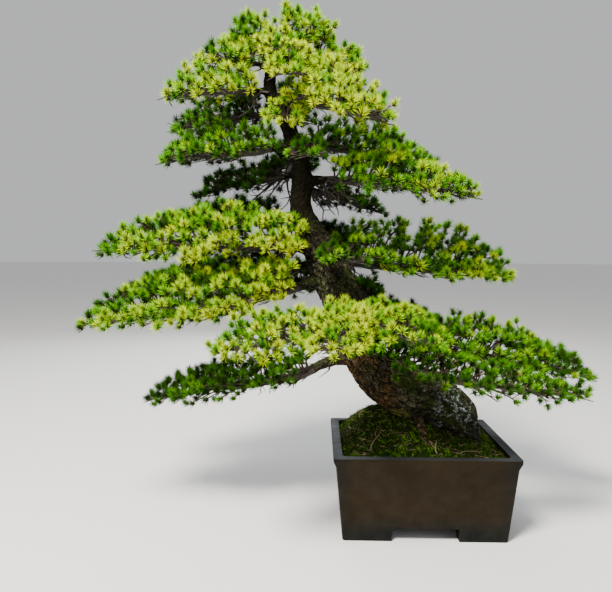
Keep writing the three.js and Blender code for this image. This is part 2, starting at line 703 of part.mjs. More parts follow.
function sprayGeometry(limb, random) {
  const { name, line, bare, radiusAt } = limb;
  const skin = new Skin();
  const from = bare + GAP;
  const leafy = line.length - from;
  const distances = [...steps(from, line.length - WHORL_LENGTH, LIMB_STEP), line.length];
  const rings = distances.map((distance) => {
    const heading = line.heading(distance);
    return skin.addRing(line.at(distance), heading, RING_START, radiusAt(distance), LIMB_SIDES);
  });
  skin.addCap(rings[0], true);
  const walls = rings.slice(1).map((ring, i) => skin.bridge(rings[i], ring));
  const cap = skin.addCap(rings.at(-1), false);

  const shoots = [];
  const count = Math.max(2, Math.round(leafy / SHOOT_SPACING));
  for (let i = 0; i < count; i += 1) {
    const share = (i + SHOOT_START) / count;
    const distance = from + leafy * share;
    const angle = radians(SHOOT_ANGLES[i % SHOOT_ANGLES.length]);
    const segment = Math.max(1, distances.findIndex((end) => end > distance));
    const [near, far] = [distances[segment - 1], distances[segment]];
    const root = {
      point: line.at(near).lerp(line.at(far), (distance - near) / (far - near)),
      heading: line.heading(distance),
      radius: radiusAt(distance),
    };
    const direction = shootDirection(root.heading, angle, random);
    const length = domeReach(limb, share, angle) * THREE.MathUtils.lerp(...SHOOT_LENGTHS, random());
    const owner = `${name}/${i}`;
    const shoot = SHOOT_SHRINKS
      .map((shrink) => Math.max(SHORTEST_SHOOT, length * shrink))
      .reduce((grown, tried) => grown ?? shootGeometry(root, direction, tried, owner, name, random), null);
    if (shoot) shoots.push(shoot);
  }
  const axis = line.heading(line.length);
  needleWhorl(skin, walls.at(-1), axis, name, name, random);
  needleTip(skin, cap, line.at(line.length), axis, name, name);
  return join(skin.toGeometry(), ...shoots);
}

// Shoots fan out round the limb and fork off it toward its tip
function shootDirection(heading, angle, random) {
  const level = heading.clone().setZ(0);
  if (level.length() < LEAST_LEVEL) level.set(random() - 0.5, random() - 0.5, 0);
  level.normalize();
  const across = new THREE.Vector3().crossVectors(level, UP);
  const high = Math.sin(angle);
  const fork = radians(THREE.MathUtils.lerp(...SHOOT_FORKS, high) + FORK_JITTER * (random() - 0.5));
  return level.multiplyScalar(Math.cos(fork))
    .addScaledVector(across, Math.sin(fork) * Math.cos(angle))
    .addScaledVector(UP, Math.sin(fork) * high);
}

// Assembly

const materials = {
  ceramic: new THREE.MeshStandardMaterial({ color: 0x4a4442, roughness: 0.7, metalness: 0 }),
  plastic: new THREE.MeshStandardMaterial({ color: 0x202422, roughness: 0.6, metalness: 0 }),
  soil: new THREE.MeshStandardMaterial({ color: 0x4b3829, roughness: 1, metalness: 0 }),
  moss: new THREE.MeshStandardMaterial({ color: 0x39481c, roughness: 1, metalness: 0 }),
  bark: new THREE.MeshStandardMaterial({ color: 0x3a2e27, roughness: 0.95, metalness: 0 }),
  needles: new THREE.MeshStandardMaterial({ color: 0x6f9a2a, roughness: 0.6, metalness: 0 }),
};

const tree = new THREE.Group();

function addPiece(name, geometry, material) {
  const piece = new THREE.Mesh(geometry, materials[material].clone());
  piece.name = name;
  tree.add(piece);
  return piece;
}

addPiece('pot', potGeometry(), 'ceramic');

const screenHeight = POT_FLOOR + GAP + SCREEN_THICKNESS / 2;
const screenHoles = [-1, 1].map((side, i) => {
  const x = (side * DRAIN_SPACING) / 2;
  addPiece(`drain_screen_${i + 1}`, screenGeometry(), 'plastic').position.set(x, 0, screenHeight);
  const size = SCREEN_SIZE + 2 * GAP;
  const hole = new THREE.BoxGeometry(size, size, 2 * (SCREEN_THICKNESS + 2 * GAP));
  return hole.translate(x, 0, POT_FLOOR);
});

const treeHole = join(...rootedFoot(TREE_CLEARANCE));
addPiece('soil', soilGeometry(treeHole, screenHoles), 'soil');
addPiece('moss', mossGeometry(treeHole), 'moss');
addPiece('trunk', trunkGeometry(), 'bark');

fillAir(trunkLine, 0, trunkLine.length, (distance) => trunkRadius(distance) * BOW_COVER, 'trunk');
limbs.forEach((limb) => fillAir(limb.line, 0, limb.bare, limb.radiusAt, 'trunk'));
limbs.forEach((limb) => fillAir(limb.line, limb.bare, limb.line.length, limb.radiusAt, limb.name));
limbs.forEach((limb, i) => {
  addPiece(`spray_${limb.name}`, sprayGeometry(limb, randomSource(SEED + i)), 'needles');
});

// The origin is put under the middle of the whole object
const box = new THREE.Box3().setFromObject(tree);
const middle = box.getCenter(new THREE.Vector3());
tree.position.set(-middle.x, -middle.y, -box.min.z);

export default tree;
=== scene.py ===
"""A leaning japanese white pine in a rectangular footed pot.

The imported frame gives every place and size. This script lays the fine forms over it: grown bark, surface
roots, cushions of moss, fired clay with worn edges, and for each spray its twigs and its tufts of needles.
Lengths in the tables are millimetres, measured from the middle of the pot's underside.
"""
import math
from itertools import product

import bmesh
import bpy
import numpy as np
from mathutils import Matrix, Vector

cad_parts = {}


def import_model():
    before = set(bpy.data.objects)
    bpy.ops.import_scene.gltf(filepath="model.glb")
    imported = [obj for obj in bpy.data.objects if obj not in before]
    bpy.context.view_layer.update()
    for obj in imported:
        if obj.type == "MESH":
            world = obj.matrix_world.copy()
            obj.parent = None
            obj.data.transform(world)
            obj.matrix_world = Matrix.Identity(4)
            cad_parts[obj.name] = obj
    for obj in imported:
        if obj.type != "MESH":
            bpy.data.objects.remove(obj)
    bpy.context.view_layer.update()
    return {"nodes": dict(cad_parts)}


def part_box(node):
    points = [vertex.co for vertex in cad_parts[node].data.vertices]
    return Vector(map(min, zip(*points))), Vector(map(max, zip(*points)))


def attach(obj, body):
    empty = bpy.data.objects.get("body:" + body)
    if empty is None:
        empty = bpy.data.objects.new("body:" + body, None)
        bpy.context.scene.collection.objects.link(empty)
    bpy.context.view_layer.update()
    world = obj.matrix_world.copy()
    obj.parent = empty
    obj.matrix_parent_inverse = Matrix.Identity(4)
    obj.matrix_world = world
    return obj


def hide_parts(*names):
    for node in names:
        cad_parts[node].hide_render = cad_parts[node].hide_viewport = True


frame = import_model()

POT_LOW, POT_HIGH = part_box("pot")
POT_X, POT_Y = (POT_LOW.x + POT_HIGH.x) / 2, (POT_LOW.y + POT_HIGH.y) / 2
POT_CENTRE = np.array([POT_X, POT_Y, POT_LOW.z])
UP = np.array([0.0, 0.0, 1.0])
FULL_TURN = 2 * math.pi
SPAN_STEPS = 24
GROUND_SEED = 11
FIRST_SPRAY_SEED = 100

# Camera, solved from the pot's edges
PHOTO_WIDTH = 612
FOCAL_PIXELS = 578.5
SENSOR_WIDTH = 36
EYE = (-211, -1214, 556)
YAW, PITCH, ROLL = math.radians(-1.21), math.radians(-4.12), math.radians(0.24)

# Floor, sky and lights, in metres: place, size, power and colour of each light
FLOOR_RADIUS = 40
FLOOR_DROP = 0.0005
FLOOR_COLOUR = (0.82, 0.81, 0.79, 1)
SKY_COLOUR = (0.93, 0.94, 0.96, 1)
SKY_STRENGTH = 0.62
LIT_POINT = (-0.05, 0, 0.55)
LIGHTS = {
    "key": ((-0.9, -1.5, 2.6), 0.8, 235, (1.0, 0.96, 0.88)),
    "fill": ((2.2, -1.2, 1.2), 1.6, 10, (0.92, 0.96, 1.0)),
    "back": ((-0.4, 2.4, 1.6), 1.8, 40, (0.9, 0.95, 1.0)),
}

# Pot and ground, as in the frame
POT_HEIGHT = 168
WORN_EDGE = 1.6
LIP_HALF = (162, 122.5)
MOSS_EDGE_DROP = 9
MOUND_RISE = 66
MOUND_CENTRE = (-58, 52)
MOUND_REACH = {"left": 116, "right": 180, "front": 128, "back": 105}

# Moss: the cells of its sheet, its gap to the lip, its border, and its upright blades
MOSS_CELLS = ((130, 98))
MOSS_GAP = 0.6
MOSS_SKIRT = 8
MOSS_BLADES = 26000
BLADE_LENGTHS = (3.2, 7.0)
BLADE_RADIUS = 0.66
BLADE_SINK = 0.8

# Dead twigs on the moss: x, y, heading in degrees, length, radius, and how pale
DEAD_TWIGS = [
    (22, -106, 84, 40, 1.1, 0.9), (24, -92, 118, 30, 0.9, 0.85), (-106, -98, 66, 56, 1.0, 0.7),
    (-92, -64, 84, 26, 0.8, 0.6), (70, -98, 12, 44, 0.9, 0.7), (-66, -60, 20, 30, 0.8, 0.5),
    (112, -60, 70, 34, 0.9, 0.5), (-120, 20, 80, 40, 1.0, 0.6), (100, 80, 30, 44, 1.0, 0.6),
    (20, 96, -10, 46, 0.9, 0.6),
]

# Fallen needles, and how far from the middle their feet and tips may lie
FALLEN_NEEDLES = 420
FALLEN_LENGTHS = (13, 19)
FALLEN_RADIUS = 0.6
FALLEN_REACH = 18
FEET_HALF, TIPS_HALF = (150, 112), (156, 117)

# Trunk: centre x, y, z and radius
TRUNK = [
    (90, 24, 102, 38), (94, 24, 136, 44), (93, 23, 170, 48), (84, 21, 201, 51), (61, 18, 228, 52),
    (27, 13, 249, 50), (-19, 8, 264, 50), (-66, 2, 289, 48), (-102, -4, 328, 43), (-125, -7, 366, 42),
    (-140, -9, 404, 42), (-155, -10, 446, 42), (-172, -10, 488, 41), (-188, -10, 526, 39),
    (-204, -10, 558, 35), (-228, -10, 598, 31), (-247, -10, 648, 23), (-246, -10, 698, 21),
    (-248, -10, 742, 19), (-264, -15, 788, 16.5), (-278, -20, 824, 15.5), (-296, -22, 852, 14.5),
    (-310, -25, 884, 13.5), (-308, -28, 920, 11.5), (-296, -30, 950, 9.5), (-286, -33, 976, 7),
]

# Surface roots: height on the trunk, heading in degrees from +X, reach, thickness
ROOTS = [(206, -58, 96, 12), (262, -73, 110, 12), (200, 50, 92, 15)]
ROOT_SINK = 30

# The stub of a lost limb
SNAG_FOOT, SNAG_WAY = np.array([-122, -30, 416]), np.array([46, -26, 14])
SNAG_RADIUS, SNAG_TAPER = 15, 5

# Bark: sides of its tubes, and its voxels in metres
TRUNK_SIDES, ROOT_SIDES, LIMB_SIDES = 56, 20, 16
VOXEL = 0.0028
SMOOTHINGS = 4
RING_START = np.array([0.1, 0.3, 1.0]) / np.linalg.norm([0.1, 0.3, 1.0])
STATION_BLOCK = 200
GRAIN_SHIFT = 300

# Limbs: height on the trunk, root radius, bare length, half width and height of the foliage's dome, how far
# the needles are sunlit at its root and at its tip, and the points of its line after the trunk
LIMBS = {
    "left_low": (352, 14, 106, 94, 68, 0.31, 0.27, (-202, -10, 326), (-252, -10, 300), (-354, -4, 280),
        (-456, 4, 264), (-534, 10, 252), (-574, 10, 238)),
    "front_low_left": (388, 10, 112, 86, 68, 1.0, 0.95, (-192, -120, 400), (-260, -200, 404),
        (-326, -255, 402), (-376, -286, 396)),
    "front_low_centre": (402, 9, 98, 78, 72, 1.05, 1.1, (-150, -120, 408), (-172, -214, 408),
        (-194, -296, 398)),
    "front_low_right": (416, 9, 98, 86, 58, 1.02, 0.52, (-122, -116, 422), (-76, -194, 418),
        (-10, -254, 408)),
    "right_low": (412, 13, 86, 100, 98, 0.54, 0.54, (-70, 34, 390), (-9, 50, 358), (89, 45, 340),
        (186, 25, 330), (270, 5, 318), (358, -15, 302)),
    "right_low_front": (366, 10, 76, 82, 52, 0.36, 0.46, (-62, -80, 354), (-10, -120, 334), (76, -130, 314),
        (175, -115, 299), (250, -95, 288), (318, -85, 284)),
    "right_low_back": (432, 9, 98, 86, 58, 0.3, 0.34, (-60, 120, 404), (30, 190, 376), (112, 232, 348)),
    "left_mid_low": (506, 12, 76, 94, 96, 1.12, 0.52, (-238, -24, 494), (-310, -50, 472), (-378, -80, 446),
        (-462, -96, 437), (-565, -100, 431), (-668, -100, 418)),
    "left_mid_low_back": (536, 10, 98, 86, 56, 0.15, 0.3, (-316, 44, 522), (-420, 76, 502), (-540, 86, 484),
        (-646, 66, 462)),
    "left_mid": (572, 12, 58, 96, 90, 1.12, 0.48, (-300, -36, 572), (-396, -66, 570), (-502, -80, 568),
        (-600, -80, 564), (-640, -78, 558)),
    "left_mid_back": (638, 8, 70, 80, 54, 0.3, 0.18, (-330, 60, 636), (-444, 90, 626), (-560, 100, 612)),
    "left_upper_low": (722, 7, 54, 68, 42, 0.12, 0.1, (-314, 30, 714), (-404, 50, 700), (-474, 50, 682)),
    "left_upper": (776, 8, 52, 78, 66, 0.48, 0.4, (-350, -40, 758), (-436, -60, 748), (-516, -60, 740)),
    "left_upper_back": (844, 6, 48, 66, 58, 0.12, 0.2, (-378, 20, 838), (-457, 50, 832), (-524, 60, 826)),
    "left_top": (882, 6, 40, 66, 62, 1.0, 0.7, (-364, -70, 872), (-437, -100, 857), (-498, -100, 852)),
    "left_crown": (922, 5, 30, 54, 56, 0.9, 0.65, (-348, -50, 932), (-400, -70, 930), (-440, -70, 930)),
    "right_mid": (556, 12, 62, 98, 124, 0.72, 0.72, (-139, 30, 541), (-33, 50, 526), (64, 50, 522),
        (148, 40, 517), (196, 30, 510)),
    "right_upper": (704, 10, 60, 86, 66, 0.72, 0.8, (-178, -30, 706), (-91, -60, 694), (6, -70, 684),
        (90, -70, 672)),
    "right_upper_low": (690, 7, 70, 58, 26, 0.2, 0.2, (-196, 60, 688), (-128, 110, 668), (-66, 136, 652)),
    "right_upper_back": (790, 8, 54, 78, 78, 0.42, 0.62, (-205, 40, 788), (-121, 80, 776), (-32, 90, 764),
        (46, 80, 744)),
    "right_top": (870, 6, 46, 72, 94, 1.1, 1.05, (-236, -84, 846), (-173, -125, 818), (-119, -146, 806),
        (-80, -148, 804)),
    "right_crown": (944, 5, 30, 58, 64, 1.0, 0.75, (-220, -30, 936), (-166, -30, 932), (-126, -30, 926)),
    "front_mid": (540, 5, 76, 34, 28, 0.4, 0.4, (-190, -76, 552), (-176, -124, 556)),
    "front_upper": (762, 5, 40, 46, 44, 0.3, 0.35, (-236, -64, 752), (-226, -112, 744)),
    "front_top": (828, 5, 42, 52, 52, 0.95, 1.05, (-276, -68, 818), (-276, -120, 806)),
    "front_crown": (922, 5, 40, 60, 62, 1.05, 1.1, (-274, -90, 902), (-262, -156, 878)),
    "back_low": (462, 9, 90, 80, 44, 0.3, 0.35, (-130, 90, 466), (-110, 180, 456), (-90, 262, 438)),
    "back_low_left": (488, 9, 94, 88, 72, 0.25, 0.35, (-230, 90, 486), (-306, 176, 470), (-372, 248, 450)),
    "back_mid": (592, 8, 80, 76, 50, 0.35, 0.4, (-196, 84, 588), (-170, 166, 574), (-150, 236, 556)),
    "back_upper": (756, 7, 56, 74, 66, 0.3, 0.4, (-262, 64, 760), (-280, 136, 752), (-290, 200, 736)),
    "back_top": (868, 6, 44, 64, 60, 0.35, 0.5, (-296, 48, 874), (-276, 104, 868), (-258, 154, 854)),
    "apex_left": (954, 4, 22, 52, 58, 0.8, 0.7, (-326, -44, 974), (-380, -52, 984)),
    "apex_front": (948, 4, 28, 50, 50, 1.0, 1.05, (-290, -80, 940), (-280, -132, 926)),
    "apex_right": (960, 4, 22, 54, 58, 0.95, 0.8, (-250, -42, 978), (-194, -50, 984)),
    "apex_back": (960, 4, 26, 48, 48, 0.5, 0.5, (-292, 20, 978), (-300, 66, 976)),
    "leader": (972, 6, 8, 58, 46, 0.9, 0.95, (-280, -36, 996), (-277, -40, 1020)),
}
LIMB_TIP_RADIUS = 2.2
LIMB_TAPER = 0.75

# Limbs whose first shoots stand nearer to the trunk, and by how much
EARLY_LEAVES = {"left_mid": 42, "right_mid": 22, "left_upper": 16, "front_mid": 20, "right_low_front": 40,
                "apex_left": 20, "left_crown": 12, "left_upper_back": 16}

# Shoots and twigs: spacing, angles in degrees about and from the limb, bend, lengths, radii at both ends
NODE_SPACING = 13
SHOOT_FANS = ((-8, 46, 134, 188), (14, 74, 106, 166))
SHOOT_FORK = (50, 72)
SHOOT_LIFT = 0.20
SHOOT_SAG = 0.26
SHOOT_RADII = (2.5, 0.95)
TWIG_SPACING = 8.5
TWIG_LEAN = (32, 62)
TWIG_LENGTHS = (12, 21)
TWIG_RADII = (1.2, 0.75)
LEAFY_FROM = 0.48

# Old bare twigs: lengths, drops as a share of them, and radius; and how many are tangled at the trunk
BARE_SPACING = 7.2
BARE_TWIG = ((18, 74), (-0.36, 0.12), 1.9)
TANGLED_TWIG = ((28, 62), (-1.2, 0), 2.7)
BARE_TIP, FORK_TIP = 0.75, 0.65
TANGLES = {"right_upper_low": 18, "right_upper": 14, "right_upper_back": 8, "right_mid": 8, "right_top": 6,
           "left_upper_low": 10, "left_mid_low_back": 10, "left_mid": 10, "left_low": 6, "left_top": 6}

# Tufts and needles
MOST_TUFTS = 9000
TUFT_CLEARANCE = 13.2
FRONT_TUFT_SIZE = 0.86
NEEDLES_PER_TUFT = 34
NEEDLE_LENGTH = 16.8
NEEDLE_RADIUS = 1.0
NEEDLE_LEAN, NEEDLE_FAN = 10, 68
NEEDLE_SETBACK = 8.5
GOLDEN_ANGLE = 2.39996

# Light on the tufts
SUN_LIFT = 0.125
LOW_DIM = 0.05
DEEP_DIM = 1.1
CREST_MIDDLE = 0.35
CREST_DIM = {"left_mid": 0.28, "left_mid_low": 0.30, "front_low_left": 0.1}
EVEN_PADS = ("left_low", "right_mid", "right_low", "right_low_front", "right_upper")
EVEN_SHARE = 0.35
FRONT_LIFT = 0.13

# Pale lichen, in metres: below this height, and to the right of the pot's middle
LICHEN_TOP = 0.30
LICHEN_LEFT = 0.024
# Furrow colour: partly the bark's own dark, partly painted shade in the recesses
FURROW = (0.0035, 0.0030, 0.0022)

CELL_PRIMES = np.array([374761393, 668265263, 2147483647])
FIRST_MIX, SECOND_MIX = 1274126177, 2246822519


# Lines

def unit(v):
    return v / np.maximum(np.linalg.norm(v, axis=-1, keepdims=True), 1e-9)


def smooth(low, high, value):
    t = np.clip((value - low) / (high - low), 0, 1)
    return t * t * (3 - 2 * t)


def compass(degrees):
    return np.array([math.cos(math.radians(degrees)), math.sin(math.radians(degrees))])


def running_length(points):
    return np.concatenate([[0], np.cumsum(np.linalg.norm(np.diff(points, axis=0), axis=1))])


def turned(ahead, aside, angle):
    return ahead * math.cos(angle) + aside * math.sin(angle)


def bent(line, *pushes):
    """A line that leaves its start along each direction, by the amounts that go with it."""
    for direction, amounts in pushes:
        line = line + direction * amounts[:, None]
    return line


class Line:
    """A smooth line through points, followed by its length."""

    def __init__(self, points):
        points = np.asarray(points, float)
        knots = np.vstack([2 * points[0] - points[1], points, 2 * points[-1] - points[-2]])
        t = np.linspace(0, 1, SPAN_STEPS, endpoint=False)[:, None]
        spans = []
        for a, b, c, d in zip(knots, knots[1:], knots[2:], knots[3:]):
            leave, arrive = (c - a) / 2, (d - b) / 2
            spans.append(b + leave * t + (-3 * b + 3 * c - 2 * leave - arrive) * t**2
                         + (2 * b - 2 * c + leave + arrive) * t**3)
        self.points = np.vstack(spans + [points[-1:]])
        self.reach = running_length(self.points)
        self.length = self.reach[-1]

    def at(self, distance):
        return np.stack([np.interp(distance, self.reach, column) for column in self.points.T], -1)

    def heading(self, distance):
        ahead = self.at(np.minimum(distance + 1, self.length))[..., :3]
        behind = self.at(np.maximum(distance - 1, 0))[..., :3]
        return unit(ahead - behind)


# Patterns

def hashed(cells, salt):
    """Steady random numbers from 0 to 1 for whole-numbered cells."""
    mixed = ((cells * CELL_PRIMES).sum(-1) + salt * FIRST_MIX) & 0xFFFFFFFF
    mixed = ((mixed ^ (mixed >> 13)) * FIRST_MIX) & 0xFFFFFFFF
    mixed = ((mixed ^ (mixed >> 16)) * SECOND_MIX) & 0xFFFFFFFF
    return ((mixed ^ (mixed >> 15)) & 0xFFFFFF) / float(0x1000000)


def plates(places, salt):
    """For each place, how far it is from the nearest cell border, and that cell's own random number."""
    base = np.floor(places).astype(np.int64)
    nearest = np.full(len(places), 9.0)
    second = np.full(len(places), 9.0)
    own = np.zeros(len(places))
    for step in product((-1, 0, 1), repeat=3):
        cell = base + step
        seed = cell + np.stack([hashed(cell, salt + i) for i in range(3)], -1)
        distance = np.linalg.norm(places - seed, axis=1)
        closer = distance < nearest
        second = np.where(closer, nearest, np.minimum(second, distance))
        own = np.where(closer, hashed(cell, salt + 3), own)
        nearest = np.where(closer, distance, nearest)
    return second - nearest, own


def waves(places, salt, octaves=3):
    """Smooth fractal noise from -1 to 1 at each place."""
    total, size, share = 0.0, 1.0, 0.0
    for octave in range(octaves):
        p = places * 2**octave
        base = np.floor(p).astype(np.int64)
        t = smooth(0, 1, p - base)
        value = 0.0
        for dx, dy, dz in product((0, 1), repeat=3):
            weight = np.abs(1 - dx - t[:, 0]) * np.abs(1 - dy - t[:, 1]) * np.abs(1 - dz - t[:, 2])
            value = value + weight * (2 * hashed(base + (dx, dy, dz), salt + octave) - 1)
        total = total + value * size
        share += size
        size /= 2
    return total / share


# Meshes

def world(points):
    """From the tables' millimetres to the frame's metres."""
    return np.asarray(points, float) / 1000 + POT_CENTRE


def new_object(name, data):
    piece = bpy.data.objects.new(name, data)
    bpy.context.scene.collection.objects.link(piece)
    return piece


def dress(mesh, material):
    mesh.materials.clear()
    mesh.materials.append(material)


def place_piece(name, mesh, material):
    piece = new_object(name, mesh)
    dress(mesh, material)
    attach(piece, "root")
    return piece


def shaped_mesh(piece):
    """The piece's mesh with its modifiers applied."""
    bpy.context.view_layer.update()
    return bpy.data.meshes.new_from_object(piece.evaluated_get(bpy.context.evaluated_depsgraph_get()))


def read_rows(mesh, kind):
    flat = np.zeros(3 * len(mesh.vertices), np.float32)
    mesh.vertices.foreach_get(kind, flat)
    return flat.reshape(-1, 3).astype(float)


def write_places(mesh, points):
    mesh.vertices.foreach_set("co", world(points).astype(np.float32).ravel())


def write_shades(mesh, shades):
    shade = mesh.color_attributes.new("shade", "FLOAT_COLOR", "POINT")
    shade.data.foreach_set("color", shades.astype(np.float32).ravel())


def shade_rows(first, second=0.0, third=0.0):
    return np.stack(np.broadcast_arrays(first, second, third, 1.0), -1)


class Soup:
    """Loose solids gathered into one mesh, with a shade (four numbers) for every corner."""

    def __init__(self):
        self.corners, self.faces, self.shades, self.count = [], [], [], 0

    def add(self, corners, faces, shades):
        self.corners.append(corners)
        self.faces.append(faces + self.count)
        self.shades.append(np.broadcast_to(shades, (len(corners), 4)))
        self.count += len(corners)

    def build(self, name, material, smooth_faces=False):
        faces = np.vstack(self.faces).astype(np.int32)
        mesh = bpy.data.meshes.new(name)
        mesh.vertices.add(self.count)
        write_places(mesh, np.vstack(self.corners))
        mesh.loops.add(3 * len(faces))
        mesh.loops.foreach_set("vertex_index", faces.ravel())
        mesh.polygons.add(len(faces))
        mesh.polygons.foreach_set("loop_start", np.arange(0, 3 * len(faces), 3, dtype=np.int32))
        mesh.polygons.foreach_set("use_smooth", np.full(len(faces), smooth_faces))
        mesh.update(calc_edges=True)
        write_shades(mesh, np.vstack(self.shades))
        return place_piece(name, mesh, material)


def least_axis(headings):
    """For each heading, the axis that it is furthest from."""
    return np.eye(3)[np.argmin(np.abs(headings), axis=-1)]


def square_to(heading, start):
    """Two directions square to each heading and to each other."""
    side = unit(np.cross(heading, start))
    return np.cross(side, heading), side


def spokes(angle, heading, start):
    """Directions square to each heading, turned about it by each angle."""
    front, side = square_to(heading, start)
    return np.cos(angle)[..., None] * front[..., None, :] + np.sin(angle)[..., None] * side[..., None, :]


def rings_of(lines, radii, start=None):
    """Ring corners along lines (..., ring, xyz), with a radius for each corner (..., ring, side)."""
    heading = unit(np.gradient(lines, axis=-2))
    if start is None:
        start = least_axis(heading.mean(axis=-2))[..., None, :]
    angle = FULL_TURN * np.arange(radii.shape[-1]) / radii.shape[-1]
    return lines[..., None, :] + radii[..., None] * spokes(angle, heading, start)


def quads(*corners):
    a, b, c, d = (np.ravel(corner) for corner in corners)
    return np.concatenate([np.stack([a, b, c], -1), np.stack([a, c, d], -1)])


def tube_faces(tubes, rings, sides):
    """Faces of closed tubes whose corners run tube by tube and ring by ring."""
    i, j = np.meshgrid(np.arange(rings - 1), np.arange(sides), indexing="ij")
    a, b = i * sides + j, i * sides + (j + 1) % sides
    fan = np.array([[0, k, k + 1] for k in range(1, sides - 1)])
    one = np.concatenate([quads(a, b, b + sides, a + sides), fan[:, ::-1], fan + (rings - 1) * sides])
    return (one[None] + (np.arange(tubes) * rings * sides)[:, None, None]).reshape(-1, 3)


def add_tubes(soup, lines, radii, sides, shades):
    """Closed tubes along lines (tube, ring, xyz) with radii (tube, ring) and a shade for each tube."""
    tubes, rings = radii.shape
    corners = rings_of(lines, np.repeat(radii[..., None], sides, axis=-1)).reshape(-1, 3)
    shades = np.repeat(np.atleast_2d(shades), rings * sides, axis=0)
    soup.add(corners, tube_faces(tubes, rings, sides), shades)


def add_needles(soup, feet, headings, lengths, radius, shades):
    """Three-sided pointed needles. The third shade number is 0 at the foot and 1 at the tip."""
    count = len(feet)
    foot = feet[:, None] + radius * spokes(FULL_TURN * np.arange(3) / 3, headings, least_axis(headings))
    tip = (feet + headings * lengths[:, None])[:, None]
    corners = np.concatenate([foot, tip], axis=1).reshape(-1, 3)
    one = np.array([[0, 1, 3], [1, 2, 3], [2, 0, 3]])
    faces = (one[None] + (4 * np.arange(count))[:, None, None]).reshape(-1, 3)
    shades = np.repeat(shades, 4, axis=0)
    shades[:, 2] = np.tile([0, 0, 0, 1], count)
    soup.add(corners, faces, shades)


# Camera, light and floor

def add_camera():
    data = bpy.data.cameras.new("camera")
    data.sensor_width = SENSOR_WIDTH
    data.lens = FOCAL_PIXELS / PHOTO_WIDTH * data.sensor_width
    camera = new_object("camera", data)
    ahead = Vector((math.sin(YAW) * math.cos(PITCH), math.cos(YAW) * math.cos(PITCH), math.sin(PITCH)))
    turn = ahead.to_track_quat("-Z", "Y").to_matrix() @ Matrix.Rotation(ROLL, 3, "Z")
    camera.matrix_world = Matrix.Translation(Vector(world(EYE))) @ turn.to_4x4()
    bpy.context.scene.camera = camera


def add_light(name, place, size, power, colour):
    data = bpy.data.lights.new(name, "AREA")
    data.shape, data.size, data.energy, data.color = "DISK", size, power, colour
    light = new_object(name, data)
    light.location = place
    light.rotation_euler = (Vector(LIT_POINT) - Vector(place)).to_track_quat("-Z", "Y").to_euler()


def add_stage():
    place = (0, 0, -FLOOR_DROP)
    bpy.ops.mesh.primitive_circle_add(vertices=96, radius=FLOOR_RADIUS, fill_type="NGON", location=place)
    floor = bpy.context.active_object
    floor.name = "floor"
    floor.data.materials.append(Nodes("pale_floor", roughness=0.9).finish(FLOOR_COLOUR))
    sky = bpy.data.worlds.new("sky")
    sky.use_nodes = True
    background = sky.node_tree.nodes["Background"]
    background.inputs["Color"].default_value = SKY_COLOUR
    background.inputs["Strength"].default_value = SKY_STRENGTH
    bpy.context.scene.world = sky
    for name, values in LIGHTS.items():
        add_light(name, *values)


# Materials

